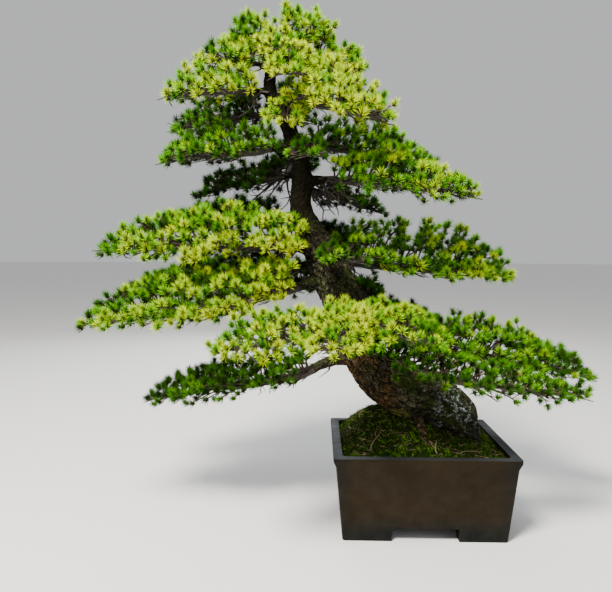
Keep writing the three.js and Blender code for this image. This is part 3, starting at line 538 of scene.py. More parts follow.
class Nodes:
    """Short words for building a material's nodes."""

    def __init__(self, name, roughness=0.6, specular=0.5):
        self.material = bpy.data.materials.new(name)
        self.material.use_nodes = True
        self.tree = self.material.node_tree
        self.shader = self.tree.nodes["Principled BSDF"]
        self.shader.inputs["Roughness"].default_value = roughness
        self.shader.inputs["Specular IOR Level"].default_value = specular
        self.place = self.add("TexCoord").outputs["Object"]

    def add(self, kind, inputs=None, **settings):
        node = self.tree.nodes.new("ShaderNode" + kind)
        for key, value in settings.items():
            setattr(node, key, value)
        for key, value in (inputs or {}).items():
            self.set(node.inputs[key], value)
        return node

    def set(self, socket, value):
        if isinstance(value, bpy.types.NodeSocket):
            self.tree.links.new(value, socket)
        else:
            socket.default_value = value

    def noise(self, scale, detail=4, roughness=0.6):
        inputs = {"Vector": self.place, "Scale": scale, "Detail": detail, "Roughness": roughness}
        return self.add("TexNoise", inputs).outputs["Fac"]

    def cells(self, scale, feature="F1", output="Distance", place=None):
        inputs = {"Vector": place or self.place, "Scale": scale}
        return self.add("TexVoronoi", inputs, feature=feature).outputs[output]

    def warped(self, scale, reach):
        """The place, pushed about by noise."""
        noise = self.add("TexNoise", {"Vector": self.place, "Scale": scale, "Detail": 3})
        push = noise.outputs["Color"]
        for step, other in (("SUBTRACT", (0.5,) * 3), ("MULTIPLY", (reach,) * 3), ("ADD", self.place)):
            push = self.add("VectorMath", {0: push, 1: other}, operation=step).outputs[0]
        return push

    def span(self, value, low, high, to_low=0.0, to_high=1.0):
        inputs = {"Value": value, "From Min": low, "From Max": high, "To Min": to_low, "To Max": to_high}
        return self.add("MapRange", inputs).outputs[0]

    def by(self, axis, low, high, to_low=0.0, to_high=1.0):
        return self.span(self.axis(axis), low, high, to_low, to_high)

    def math(self, operation, a, b=0.0):
        return self.add("Math", {0: a, 1: b}, operation=operation).outputs[0]

    def plus(self, a, b):
        return self.math("ADD", a, b)

    def times(self, first, *others):
        for other in others:
            first = self.math("MULTIPLY", first, other)
        return first

    def ramp(self, value, stops):
        node = self.add("ValToRGB", {"Fac": value})
        ramp = node.color_ramp
        while len(ramp.elements) < len(stops):
            ramp.elements.new(0.5)
        for element, (position, colour) in zip(ramp.elements, stops):
            element.position = position
            element.color = (*colour, 1)
        return node.outputs["Color"]

    def mix(self, share, a, b, blend="MIX"):
        node = self.add("Mix", data_type="RGBA", blend_type=blend)
        for socket, value in ((0, share), (6, a), (7, b)):
            self.set(node.inputs[socket], (*value, 1) if isinstance(value, tuple) else value)
        return node.outputs[2]

    def paint(self, under, colour, *shares):
        """The colour over what is under it, as strong as the product of the shares."""
        return self.mix(self.times(*shares), under, colour)

    def parts(self, colour):
        return tuple(self.add("SeparateColor", {"Color": colour}).outputs)

    def shade(self):
        return self.parts(self.add("Attribute", attribute_name="shade").outputs["Color"])

    def axis(self, name):
        return self.add("SeparateXYZ", {"Vector": self.place}).outputs[name]

    def facing_up(self):
        normal = self.add("NewGeometry").outputs["Normal"]
        return self.add("SeparateXYZ", {"Vector": normal}).outputs["Z"]

    def bump(self, height, distance, strength=1.0, normal=None):
        inputs = {"Height": height, "Distance": distance, "Strength": strength}
        if normal is not None:
            inputs["Normal"] = normal
        return self.add("Bump", inputs).outputs["Normal"]

    def finish(self, colour, roughness=None, normal=None):
        for name, value in (("Base Color", colour), ("Roughness", roughness), ("Normal", normal)):
            if value is not None:
                self.set(self.shader.inputs[name], value)
        return self.material


def clay_material():
    """Unglazed fired clay: brown-black and mottled, with fine grit, painted shade at foot and ends, and a
    painted sky sheen on upward faces.
    """
    n = Nodes("fired_clay", specular=0.11)
    clouds = n.noise(9, 5, 0.62)
    body = n.ramp(clouds, [(0.3, (0.0102, 0.0057, 0.0008)), (0.75, (0.015, 0.009, 0.0018))])
    # Painted shade: darker and bluish toward the foot and at both ends of the pot.
    low = n.span(n.plus(n.axis("Z"), n.times(clouds, 0.03)), 0.075, 0.03)
    beside = n.math("ABSOLUTE", n.math("SUBTRACT", n.axis("X"), POT_X))
    painted_foot_end_shade = n.math("MAXIMUM", low, n.span(beside, 0.135, 0.178, 0.0, 0.7))
    speck = n.span(n.cells(260), 0.16, 0.06)
    # Painted reflection: a bluish-grey sheen of the sky on faces that look up, such as the rim.
    painted_sky_sheen = n.span(n.facing_up(), 0.75, 0.98)
    dust = n.span(n.plus(n.noise(38, 6, 0.7), n.times(clouds, 0.4)), 0.62, 0.86)
    body = n.paint(body, (0.003, 0.0042, 0.0038), painted_foot_end_shade)
    body = n.paint(body, (0.05, 0.04, 0.032), speck, 0.2)
    body = n.paint(body, (0.036, 0.044, 0.052), painted_sky_sheen, 0.5)
    body = n.paint(body, (0.055, 0.044, 0.03), dust, 0.1)
    normal = n.bump(n.noise(620, 3, 0.7), 0.0003, 0.5, n.bump(n.noise(70, 3), 0.0006, 0.6))
    return n.finish(body, n.span(n.noise(30, 4), 0.3, 0.7, 0.5, 0.7), normal)


def bark_material():
    """Old bark: near black in the furrows, partly with painted shade, grey-brown on the plates, with algae,
    pale lichen and painted shade toward the crown.
    """
    n = Nodes("old_bark", roughness=0.85, specular=0.09)
    crack, own, age = n.shade()
    fibre = n.noise(150, 6, 0.7)
    plate = n.ramp(n.plus(n.times(own, 0.55), n.times(fibre, 0.45)),
                   [(0.3, (0.005, 0.0042, 0.0018)), (0.46, (0.024, 0.0215, 0.01)),
                    (0.6, (0.078, 0.072, 0.038)), (0.75, (0.16, 0.15, 0.092))])
    plate = n.paint(plate, (0.135, 0.06, 0.008), n.span(n.noise(14, 4), 0.32, 0.5),
                    n.by("X", POT_X - 0.03, POT_X - 0.07), n.by("Z", 0.4, 0.34), 0.8)
    young = n.mix(n.span(fibre, 0.35, 0.65), (0.02, 0.015, 0.011), (0.052, 0.04, 0.03))
    plate = n.mix(age, young, plate)

    # Scales and furrows. The near-black in the furrows is partly the bark's own dark and partly painted
    # shade.
    warped = n.warped(45, 0.022)
    scale_edge = n.cells(150, "DISTANCE_TO_EDGE", place=warped)
    flake = n.parts(n.cells(150, output="Color", place=warped))[0]
    plate = n.paint(plate, (0.085, 0.075, 0.046), flake, 0.5)
    plate = n.paint(plate, FURROW, n.span(scale_edge, 0.11, 0.02), 0.92)
    plate = n.paint(plate, FURROW, n.span(crack, 0.8, 0.1), 0.92)

    # Algae on the upper sides, and painted shade of the crown on the wood under it
    algae = n.times(n.span(n.noise(24, 5, 0.65), 0.42, 0.58), n.span(n.facing_up(), -0.3, 0.6))
    plate = n.paint(plate, (0.05, 0.082, 0.008), algae, 0.6)
    # Painted shade: the wood darkens toward the crown, where the foliage shades it.
    plate = n.paint(plate, (0.006, 0.0048, 0.0012), n.by("Z", 0.48, 0.64, 0.0, 0.9))

    # Bare front roots, and moss at the foot
    root = n.mix(n.span(n.noise(150, 4, 0.7), 0.48, 0.6), (0.026, 0.017, 0.009), (0.21, 0.13, 0.072))
    plate = n.paint(plate, root, n.by("Y", POT_Y - 0.03, POT_Y - 0.04), n.by("Z", 0.224, 0.212),
                    n.by("X", POT_X + 0.04, POT_X + 0.03))
    plate = n.paint(plate, (0.115, 0.125, 0.022), n.by("Z", 0.238, 0.228),
                    n.by("X", POT_X - 0.066, POT_X - 0.05), n.by("X", POT_X - 0.014, POT_X - 0.026),
                    n.span(n.noise(95, 4, 0.7), 0.44, 0.52))

    # Lichen
    patch = n.times(n.by("Z", LICHEN_TOP, LICHEN_TOP - 0.06),
                    n.by("X", POT_X + LICHEN_LEFT, POT_X + LICHEN_LEFT + 0.04))
    flecks = n.times(n.span(n.noise(115, 5, 0.72), 0.5, 0.55), n.span(n.noise(30, 3), 0.45, 0.51),
                     n.span(scale_edge, 0.04, 0.12), patch, n.by("Z", 0.186, 0.212, 0.12, 1.0))
    plate = n.paint(plate, (0.62, 0.72, 0.74), flecks, n.span(own, 0.3, 0.55, 0.5, 1.0))

    scales = n.bump(n.span(scale_edge, 0.0, 0.22), 0.0026, 0.9)
    normal = n.bump(fibre, 0.0012, 0.9, n.bump(n.noise(420, 4, 0.7), 0.0004, 0.6, scales))
    return n.finish(plate, n.span(fibre, 0.3, 0.7, 0.75, 0.95), normal)


def twig_material():
    """Rough young wood, grey-brown where old and orange-brown toward the tufts."""
    n = Nodes("twig_bark", roughness=0.8, specular=0.3)
    fresh, grey, _ = n.shade()
    scales = n.noise(340, 4, 0.7)
    grain = n.span(scales, 0.35, 0.65)
    old = n.mix(grain, (0.014, 0.0105, 0.008), (0.048, 0.037, 0.029))
    young = n.mix(grain, (0.1, 0.055, 0.03), (0.26, 0.155, 0.085))
    wood = n.paint(n.mix(fresh, old, young), (0.105, 0.095, 0.085), grey, 0.5)
    return n.finish(wood, None, n.bump(scales, 0.0006, 0.8))


def needle_material():
    """Pine needles: deep green in the shade of the pad, yellow-green where they stand in the light."""
    n = Nodes("pine_needles", roughness=0.62, specular=0.02)
    light, own, along = n.shade()
    leaf = n.ramp(n.plus(n.times(light, 0.64), n.times(own, 0.36)),
                  [(0.0, (0.002, 0.012, 0.002)), (0.25, (0.012, 0.085, 0.003)),
                   (0.5, (0.066, 0.285, 0.001)), (0.63, (0.18, 0.49, 0.0)), (0.78, (0.42, 0.64, 0.0)),
                   (1.0, (0.64, 0.8, 0.0))])
    mottle = dict.fromkeys(("Red", "Green", "Blue"), n.span(n.noise(46, 3), 0.35, 0.65, 0.86, 1.12))
    leaf = n.mix(1.0, leaf, n.add("CombineColor", mottle).outputs[0], "MULTIPLY")
    # Painted shade: the needles darken toward their feet, deep inside the tuft.
    leaf = n.paint(leaf, (0.018, 0.014, 0.005), n.span(along, 0.55, 0.08))
    # Painted highlight: the needle tips are lightened toward yellow-green.
    return n.finish(n.paint(leaf, (0.44, 0.56, 0.0), n.span(along, 0.6, 1.0), 0.2))


def moss_material():
    """Moss: painted shade makes it deep green in its hollows and pits, painted light bright on the
    cushions, brown where it is bare.
    """
    n = Nodes("moss", roughness=0.9, specular=0.06)
    tone, bare, tip = n.shade()
    # Painted shade: random dark patches stand for the shade in the moss's pits.
    painted_pit_shade = n.span(n.noise(75, 5, 0.65), 0.42, 0.58, 0.3, 1.1)
    green = n.ramp(n.plus(n.times(tone, painted_pit_shade, 0.85), 0.08),
                   [(0.15, (0.005, 0.012, 0.001)), (0.4, (0.02, 0.078, 0.002)), (0.6, (0.08, 0.22, 0.008)),
                    (0.85, (0.3, 0.56, 0.04))])
    brown = n.mix(n.noise(200, 3), (0.02, 0.014, 0.007), (0.062, 0.044, 0.022))
    green = n.paint(green, brown, bare)
    green = n.paint(green, (0.2, 0.25, 0.05), n.span(tip, 0.3, 1.0), 0.35)
    return n.finish(green, None, n.bump(n.noise(700, 4, 0.7), 0.0012, 0.9))


def litter_material():
    n = Nodes("dead_wood", roughness=0.75, specular=0.3)
    wood = n.ramp(n.plus(n.times(n.shade()[0], 0.7), n.times(n.noise(260, 4), 0.3)),
                  [(0.1, (0.06, 0.032, 0.018)), (0.5, (0.16, 0.085, 0.042)), (0.9, (0.42, 0.33, 0.2))])
    return n.finish(wood, None, n.bump(n.noise(500, 3), 0.0005, 0.7))


def soil_material():
    n = Nodes("granular_soil", roughness=0.95, specular=0.2)
    own = n.parts(n.cells(220, output="Color"))[0]
    colour = n.ramp(own, [(0.1, (0.035, 0.022, 0.014)), (0.6, (0.095, 0.06, 0.036)),
                          (0.95, (0.17, 0.125, 0.085))])
    return n.finish(colour, None, n.bump(n.cells(220), 0.002, 1.0))


def screen_material():
    n = Nodes("screen_plastic", specular=0.4)
    colour = n.mix(n.noise(90, 4), (0.012, 0.015, 0.013), (0.03, 0.034, 0.03))
    roughness = n.span(n.noise(60, 3), 0.3, 0.7, 0.45, 0.65)
    return n.finish(colour, roughness, n.bump(n.noise(500, 2), 0.0002, 0.5))


# Pot

def build_pot(material):
    """The frame's pot with its edges worn round."""
    mesh = frame["nodes"]["pot"].data.copy()
    mesh.name = "pot_clay"
    shape = bmesh.new()
    shape.from_mesh(mesh)
    bmesh.ops.remove_doubles(shape, verts=shape.verts, dist=1e-5)
    bmesh.ops.dissolve_limit(shape, angle_limit=math.radians(1.5), verts=shape.verts, edges=shape.edges)
    shape.to_mesh(mesh)
    shape.free()
    pot = place_piece("pot_clay", mesh, material)
    bevel = pot.modifiers.new("worn_edges", "BEVEL")
    bevel.width, bevel.segments, bevel.limit_method = WORN_EDGE / 1000, 3, "ANGLE"
    bevel.angle_limit = math.radians(28)
    shaped = shaped_mesh(pot)
    pot.modifiers.clear()
    pot.data = shaped
    shaped.name = "pot_clay"
    shaped.shade_smooth()
    shaped.set_sharp_from_angle(angle=math.radians(38))
    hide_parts("pot")


# Ground

def moss_height(x, y):
    fade = (1 - (x / LIP_HALF[0]) ** 8) * (1 - (y / LIP_HALF[1]) ** 8)
    off_x, off_y = x - MOUND_CENTRE[0], y - MOUND_CENTRE[1]
    across = off_x / np.where(off_x < 0, MOUND_REACH["left"], MOUND_REACH["right"])
    along = off_y / np.where(off_y < 0, MOUND_REACH["front"], MOUND_REACH["back"])
    return POT_HEIGHT - MOSS_EDGE_DROP + MOUND_RISE * np.maximum(0, fade) * np.exp(-(across**2) - along**2)


def level_places(x, y):
    return np.stack([x, y, np.zeros_like(x)], -1)


def bulge(x, y):
    """How high the cushions of moss stand over the plain mound."""
    flat = level_places(x, y)
    big, _ = plates(flat / 26 + 0.13, 40)
    small, _ = plates(flat / 9.5 + 4.7, 50)
    rough = waves(flat / 5, 60)
    return 3.4 * np.sqrt(np.clip(big, 0, 0.7)) + 1.8 * np.sqrt(np.clip(small, 0, 0.6)) + 0.8 * rough - 3.2


def ground(x, y, lift=0.0):
    """The height of the moss's surface, which dips along the lip."""
    border = np.minimum(LIP_HALF[0] - np.abs(x), LIP_HALF[1] - np.abs(y))
    return moss_height(x, y) + (bulge(x, y) - 4 * np.exp(-border / 4)) + lift


def bare_share(x, y):
    """Where brown litter and soil show between the moss."""
    return 0.7 * smooth(0.2, 0.5, waves(level_places(x, y) / 34 + 7, 70))


def moss_tone(x, y):
    flat = level_places(x, y)
    patch = np.exp(-(((x + 8) / 26) ** 2) - (((y + 48) / 22) ** 2))
    patch = patch + np.exp(-(((x - 134) / 24) ** 2) - (((y + 4) / 24) ** 2))
    clump, _ = plates(flat / 8 + 2.1, 85)
    tone = 0.16 + 0.34 * waves(flat / 22 + 3, 80) + 0.48 * smooth(0.08, 0.42, clump) + 0.3 * patch
    return np.clip(tone, 0, 1)


def build_moss(material, rng):
    """A sheet of cushions with its border down in the pot, and upright blades where it isn't bare."""
    soup = Soup()
    half = [side - MOSS_GAP for side in LIP_HALF]
    lines = [np.linspace(-side, side, cells + 1) for side, cells in zip(half, MOSS_CELLS)]
    x, y = (grid.ravel() for grid in np.meshgrid(*lines, indexing="ij"))
    sheet = np.stack([x, y, ground(x, y)], -1)
    index = np.arange(len(sheet)).reshape(MOSS_CELLS[0] + 1, MOSS_CELLS[1] + 1)
    # Painted shade and light: the sheet darkens in the hollows between cushions and is lighter on their
    # tops.
    tone = moss_tone(x, y) * (0.1 + 0.35 * smooth(-2.5, 1.5, bulge(x, y)))
    soup.add(sheet, quads(index[:-1, :-1], index[1:, :-1], index[1:, 1:], index[:-1, 1:]),
             shade_rows(tone, bare_share(x, y)))

    edge = sheet[np.concatenate([index[0], index[:, -1], index[-1, ::-1], index[::-1, 0]])]
    k = np.arange(len(edge) - 1)
    below = k + len(edge)
    skirt = np.vstack([edge, edge - (0, 0, MOSS_SKIRT)])
    soup.add(skirt, quads(k, k + 1, below + 1, below), (0.1, 0.6, 0, 1))

    x, y = (rng.uniform(-side + 1, side - 1, MOSS_BLADES) for side in half)
    keep = rng.random(MOSS_BLADES) > 0.8 * bare_share(x, y)
    x, y = x[keep], y[keep]
    feet = np.stack([x, y, ground(x, y, -BLADE_SINK)], -1)
    lean = rng.normal(0, 0.55, (len(x), 3))
    lean[:, 2] = 1
    tone = moss_tone(x, y) + rng.normal(0.04, 0.24, len(x))
    lengths = rng.uniform(*BLADE_LENGTHS, len(x))
    add_needles(soup, feet, unit(lean), lengths, BLADE_RADIUS, shade_rows(np.clip(tone, 0, 1)))
    moss = soup.build("moss_cushions", material)
    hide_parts("moss")


def build_litter(material, rng):
    """Dead twigs and fallen needles that lie on the moss."""
    soup = Soup()
    share = np.linspace(0, 1, 9)
    for x, y, turn, length, radius, pale in DEAD_TWIGS:
        out = compass(turn)
        bow = 0.05 * length * np.sin(math.pi * share * 1.6)
        px = x + out[0] * length * share - out[1] * bow
        py = y + out[1] * length * share + out[0] * bow
        height = np.convolve(np.pad(ground(px, py, 3.0), 2, mode="edge"), np.ones(5) / 5, mode="valid")
        line = np.stack([px, py, height + 0.8], -1)
        add_tubes(soup, line[None], np.linspace(radius, radius * 0.5, 9)[None], 6, (pale, 0, 0, 1))
    x, y = (rng.uniform(-side, side, FALLEN_NEEDLES) for side in FEET_HALF)
    turn = rng.uniform(0, FULL_TURN, FALLEN_NEEDLES)
    headings = unit(np.stack([np.cos(turn), np.sin(turn), rng.normal(0, 0.16, FALLEN_NEEDLES)], -1))
    feet = np.stack([x, y, ground(x, y, 3.4)], -1)
    shades = shade_rows(rng.uniform(0.3, 1, FALLEN_NEEDLES))
    inside = (np.abs(feet + FALLEN_REACH * headings)[:, :2] < TIPS_HALF).all(axis=1)
    lengths = rng.uniform(*FALLEN_LENGTHS, inside.sum())
    add_needles(soup, feet[inside], headings[inside], lengths, FALLEN_RADIUS, shades[inside])
    soup.build("litter", material)


# Trunk

TRUNK_LINE = Line(TRUNK)


def trunk_at(height):
    """The trunk's x, y, z and radius at a height."""
    return TRUNK_LINE.at(float(np.interp(height, TRUNK_LINE.points[:, 2], TRUNK_LINE.reach)))


def trunk_relief(distance, angle):
    depth = 0.3 + 0.7 * (1 - distance / TRUNK_LINE.length)
    return 1 + depth * (0.06 * np.sin(3 * angle + distance / 47) + 0.04 * np.sin(5 * angle - distance / 29)
                        + 0.03 * np.sin(8 * angle + distance / 17))


class Limb:
    """A limb's line, its thickness, and the size and light of its foliage."""

    def __init__(self, name, row):
        height, self.thick, self.bare, self.width, self.dome, self.sun_root, self.sun_tip, *points = row
        self.name = name
        root = trunk_at(height)
        self.trunk_radius = float(root[3])
        self.line = Line([root[:3]] + points)

    def share(self, distance):
        return np.clip(distance / self.line.length, 0, 1)

    def radius(self, distance):
        return self.thick + (LIMB_TIP_RADIUS - self.thick) * self.share(distance)**LIMB_TAPER

    def point(self, distance):
        """A place on the limb, with the small wander that wired limbs keep."""
        share = self.share(distance)[..., None]
        wander = np.stack([np.sin(distance / 31 + self.thick), np.cos(distance / 27 + self.width),
                           0.7 * np.sin(distance / 23)], -1)
        return self.line.at(distance) + 3.0 * wander * np.minimum(1, 4 * share) * (1 - 0.4 * share)


def root_line(height, heading, reach, thickness):
    start, out = trunk_at(height)[:3], compass(heading)
    points = [start]
    for share, lift in ((0.6, thickness * 0.3), (0.85, -thickness * 0.7), (1, -ROOT_SINK)):
        x, y = start[0] + out[0] * reach * share, start[1] + out[1] * reach * share
        points.append(np.array([x, y, moss_height(x, y) + lift]))
    return Line(points)


def round_tube(radius, sides):
    return np.repeat(radius[:, None], sides, axis=1)


def trunk_tubes(limbs):
    """Everything that the bark covers, as centres and a radius for each ring and side."""
    distance = np.arange(0, TRUNK_LINE.length, 5.0)
    path = TRUNK_LINE.at(distance)
    angle = FULL_TURN * np.arange(TRUNK_SIDES) / TRUNK_SIDES
    yield path[:, :3], path[:, 3][:, None] * trunk_relief(distance[:, None], angle[None])
    for row in ROOTS:
        line = root_line(*row)
        distance = np.linspace(0, line.length, 40)
        radius = row[3] * (1 - 0.6 * distance / line.length) * (1 + 0.12 * np.sin(distance / 9))
        yield line.at(distance), round_tube(radius, ROOT_SIDES)
    for limb in limbs:
        distance = np.arange(0, limb.bare + 6, 4.0)
        collar = 1 + 0.55 * np.exp(-np.maximum(0, distance - limb.trunk_radius) / 14)
        yield limb.point(distance), round_tube(limb.radius(distance) * collar, LIMB_SIDES)
    share = np.linspace(0, 1, 8)
    yield SNAG_FOOT + share[:, None] * SNAG_WAY, round_tube(SNAG_RADIUS - SNAG_TAPER * share, LIMB_SIDES)


def join_tubes(material, limbs):
    """One skin over the tubes, and stations along them: place, heading, radius, length so far, tube."""
    soup = Soup()
    stations = []
    for tube, (centres, radii) in enumerate(trunk_tubes(limbs)):
        corners = rings_of(centres, radii, RING_START)
        soup.add(corners.reshape(-1, 3), tube_faces(1, *radii.shape), (0, 0, 0, 1))
        stations.append(np.column_stack([centres, unit(np.gradient(centres, axis=0)), radii.mean(axis=1),
                                         running_length(centres), np.full(len(centres), tube)]))
    rough = soup.build("trunk_bark", material)
    remesh = rough.modifiers.new("join", "REMESH")
    remesh.mode, remesh.voxel_size = "VOXEL", VOXEL
    mesh = shaped_mesh(rough)
    bpy.data.objects.remove(rough)
    shape = bmesh.new()
    shape.from_mesh(mesh)
    for _ in range(SMOOTHINGS):
        bmesh.ops.smooth_vert(shape, verts=shape.verts, factor=0.6,
                              use_axis_x=True, use_axis_y=True, use_axis_z=True)
    shape.to_mesh(mesh)
    shape.free()
    return mesh, np.vstack(stations)


def nearest_stations(places, stations):
    """For each place, the station whose wood lies nearest."""
    best, nearest = np.full(len(places), np.inf), np.zeros(len(places), int)
    for start in range(0, len(stations), STATION_BLOCK):
        block = stations[start:start + STATION_BLOCK]
        away = np.linalg.norm(places[:, None] - block[None, :, :3], axis=2) - block[None, :, 6]
        closer = away.min(axis=1) < best
        best = np.where(closer, away.min(axis=1), best)
        nearest = np.where(closer, start + away.argmin(axis=1), nearest)
    return stations[nearest]


def build_trunk(material, limbs):
    """The bark: plates and furrows that follow the grain of the nearest wood."""
    mesh, stations = join_tubes(material, limbs)
    places, normals = (read_rows(mesh, "co") - POT_CENTRE) * 1000, read_rows(mesh, "normal")
    station = nearest_stations(places, stations)
    heading = station[:, 3:6]
    offset = places - station[:, :3]
    along = (offset * heading).sum(1)
    across = offset - along[:, None] * heading
    front, side = square_to(heading, RING_START)
    unrolled = np.stack([(across * front).sum(1), (across * side).sum(1),
                         station[:, 7] + along + GRAIN_SHIFT * station[:, 8]], -1)

    age = smooth(7, 30, station[:, 6])
    wide = 5 + 5 * age
    warp = np.stack([waves(unrolled / 16, 11), waves(unrolled / 16, 14), waves(unrolled / 22, 17)], -1)
    crack, own = plates(unrolled / np.stack([wide, wide, wide * 2.6], -1) + 0.9 * warp, 21)
    fine, own_fine = plates(unrolled / np.stack([wide * 0.5, wide * 0.5, wide * 0.9], -1) + 0.8 * warp, 31)
    plate = smooth(0.02, 0.26, crack)
    push = ((0.8 + 2.3 * age) * (plate - 0.8) + 0.9 * age * (own - 0.5)
            + (0.3 + 0.9 * age) * (smooth(0.02, 0.3, fine) - 0.6)
            + (0.3 + 0.7 * age) * waves(unrolled / 6, 12))
    write_places(mesh, places + normals * push[:, None])
    mesh.shade_smooth()
    streak = smooth(-0.6, 0.6, waves(unrolled / np.array([13, 13, 60]), 24, 2))
    own = 0.3 * own + 0.25 * own_fine + 0.45 * streak
    write_shades(mesh, shade_rows(plate * (0.6 + 0.4 * smooth(0.02, 0.2, fine)), own, age))
    mesh.update()
    mesh.name = "trunk_bark"
    trunk = place_piece("trunk_bark", mesh, material)
    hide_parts("trunk")


# Foliage

def pad_shape(share):
    """Share of the full half width at a share of the leafy length: a blunt leaf."""
    return np.sqrt(np.clip(1 - share**3, 0, 1)) * (0.7 + 0.3 * np.sin(math.pi * share))


class Tufts:
    """Every tuft of the tree: its place, axis, light and size. New ones keep clear of the rest."""

    def __init__(self):
        self.places = np.zeros((MOST_TUFTS, 3))
        self.rows = []

    def add(self, place, axis, light, size):
        count = len(self.rows)
        away = self.places[:count] - place
        near = away[np.abs(away).max(axis=1) < TUFT_CLEARANCE]
        if len(near) and np.linalg.norm(near, axis=1).min() < TUFT_CLEARANCE:
            return False
        self.places[count] = place
        self.rows.append((place, unit(axis), light, size))
        return True


class Spray:
    """The wood and tufts of one limb."""

    def __init__(self, limb, tufts, rng):
        self.limb, self.tufts, self.rng = limb, tufts, rng
        self.wood = []
        self.tuft_size = FRONT_TUFT_SIZE if "front" in limb.name else 1.0
        self.first = len(tufts.rows)
        self.grow()

    def add_wood(self, line, thick, thin, fresh=0.0, grey=0.0):
        self.wood.append((line, thick, thin, fresh, grey))

    def light(self, share, high, outward, front):
        """How sunlit a tuft stands: by its place on the limb, dimmer deep in the dome and at its back."""
        limb = self.limb
        along = limb.sun_root + (limb.sun_tip - limb.sun_root) * share
        dim = LOW_DIM * (1 - high) + DEEP_DIM * (1 - outward)
        dim += CREST_DIM.get(limb.name, 0.0) * (high - CREST_MIDDLE)
        lift = FRONT_LIFT * (EVEN_SHARE if limb.name in EVEN_PADS else 1)
        return along + SUN_LIFT + lift * max(-0.5, front) - dim + self.rng.normal(0, 0.06)

    def grow(self):
        limb, rng = self.limb, self.rng
        first = limb.bare - EARLY_LEAVES.get(limb.name, 0)
        leafy = limb.line.length - first
        count = max(2, round(leafy / NODE_SPACING))
        for i in range(count):
            share = (i + 0.5 + 0.3 * rng.uniform(-1, 1)) / count
            for angle in SHOOT_FANS[i % 2]:
                self.grow_shoot(first + leafy * share, share, math.radians(angle + rng.uniform(-11, 11)))
        self.grow_tip()
        self.grow_bare()

    def level(self, distance):
        """The limb's heading laid level, or any level direction where the limb stands upright."""
        heading = self.limb.line.heading(distance)
        heading[2] = 0
        if np.linalg.norm(heading) < 0.3:
            turn = self.rng.uniform(0, FULL_TURN)
            heading = np.array([math.cos(turn), math.sin(turn), 0])
        return unit(heading)

    def grow_shoot(self, distance, share, angle):
        """A shoot from the limb out to the dome: bare inside, with twigs and tufts over its outer part."""
        limb, rng = self.limb, self.rng
        heading = self.level(distance)
        across = np.cross(heading, UP)
        high = max(0.0, math.sin(angle))
        fork = math.radians(SHOOT_FORK[0] + (SHOOT_FORK[1] - SHOOT_FORK[0]) * high + rng.uniform(-9, 9))
        out = turned(heading, turned(across, UP, angle), fork)
        reach = 1 / math.hypot(math.cos(angle) / limb.width, math.sin(angle) / limb.dome)
        length = max(12.0, reach * float(pad_shape(np.array(share))) * rng.uniform(0.84, 1.06) - 5)
        steps = np.linspace(0, 1, 6)
        sideways = unit(np.cross(out, UP + 0.3 * heading))
        phase = rng.uniform(0, 6)
        bow = length * abs(math.cos(angle)) * (SHOOT_LIFT * steps - SHOOT_SAG * steps**2)
        sway = 0.07 * length * np.sin(phase + 5.5 * steps) * steps
        line = bent(limb.point(distance), (out, length * steps), (UP, bow), (sideways, sway))
        thick = min(SHOOT_RADII[0], 0.55 * float(limb.radius(distance)) + 0.4)
        self.add_wood(line, thick, SHOOT_RADII[1], fresh=0.1)
        hand = rng.uniform(0, FULL_TURN)
        spacing = TWIG_SPACING * rng.uniform(0.85, 1.1)
        for along in np.arange(max(8.0, LEAFY_FROM * length), length - 4, spacing):
            t = along / length
            start = np.array([np.interp(t, steps, line[:, a]) for a in range(3)])
            hand += math.pi * rng.uniform(0.75, 1.25)
            spread = turned(sideways, np.cross(out, sideways), hand)
            way = turned(out, spread, math.radians(rng.uniform(*TWIG_LEAN)))
            rise = rng.uniform(0.25, 0.75)
            self.grow_twig(start, way, rise, rng.uniform(*TWIG_LENGTHS), share, high, t, -out[1])
        axis = out + UP * rng.uniform(0.3, 0.8)
        size = self.tuft_size * rng.uniform(0.9, 1.1)
        self.tufts.add(line[-1] + out * 2, axis, self.light(share, high, 1.0, -out[1]), size)

    def grow_twig(self, start, fork, rise, length, share, high, outward, front=0.0):
        """A short twig that bends up to its tuft."""
        rng = self.rng
        steps = np.linspace(0, 1, 3)
        bend = unit(fork * (1 - 0.2 * steps[:, None]) + UP * (rise * (0.2 + 0.9 * steps))[:, None])
        line = start + np.vstack([np.zeros(3), np.cumsum(bend[1:] * (length / 2), axis=0)])
        axis = bend[-1] + UP * 0.5 + rng.normal(0, 0.14, 3)
        size = self.tuft_size * rng.uniform(0.82, 1.08)
        if self.tufts.add(line[-1], axis, self.light(share, high, outward, front), size):
            self.add_wood(line, *TWIG_RADII, fresh=0.35 + 0.4 * rng.random())

    def grow_tip(self):
        limb, length = self.limb, self.limb.line.length
        heading = limb.line.heading(length)
        across = unit(np.cross(heading, UP + 0.01))
        for turn in (-0.7, 0, 0.7):
            self.grow_twig(limb.point(length) - heading * 4, turned(heading, across, turn), 0.35,
                           self.rng.uniform(11, 16), 1.0, 0.6, 1.0)

    def grow_bare(self):
        """Old twigs without needles: those that hang under the pad, and a tangle close to the trunk."""
        limb, rng = self.limb, self.rng
        for distance in np.arange(0.55 * limb.bare, 0.92 * limb.line.length, BARE_SPACING):
            longest = 25 + 0.7 * (limb.line.length - distance)
            length = min(rng.uniform(*BARE_TWIG[0]), longest)
            self.hang_twig(distance, rng.uniform(0.3, 1.1), length, BARE_TWIG)
        for distance in rng.uniform(limb.trunk_radius, 1.3 * limb.bare, TANGLES.get(limb.name, 0)):
            self.hang_twig(distance, rng.uniform(0, 1.2), rng.uniform(*TANGLED_TWIG[0]), TANGLED_TWIG)

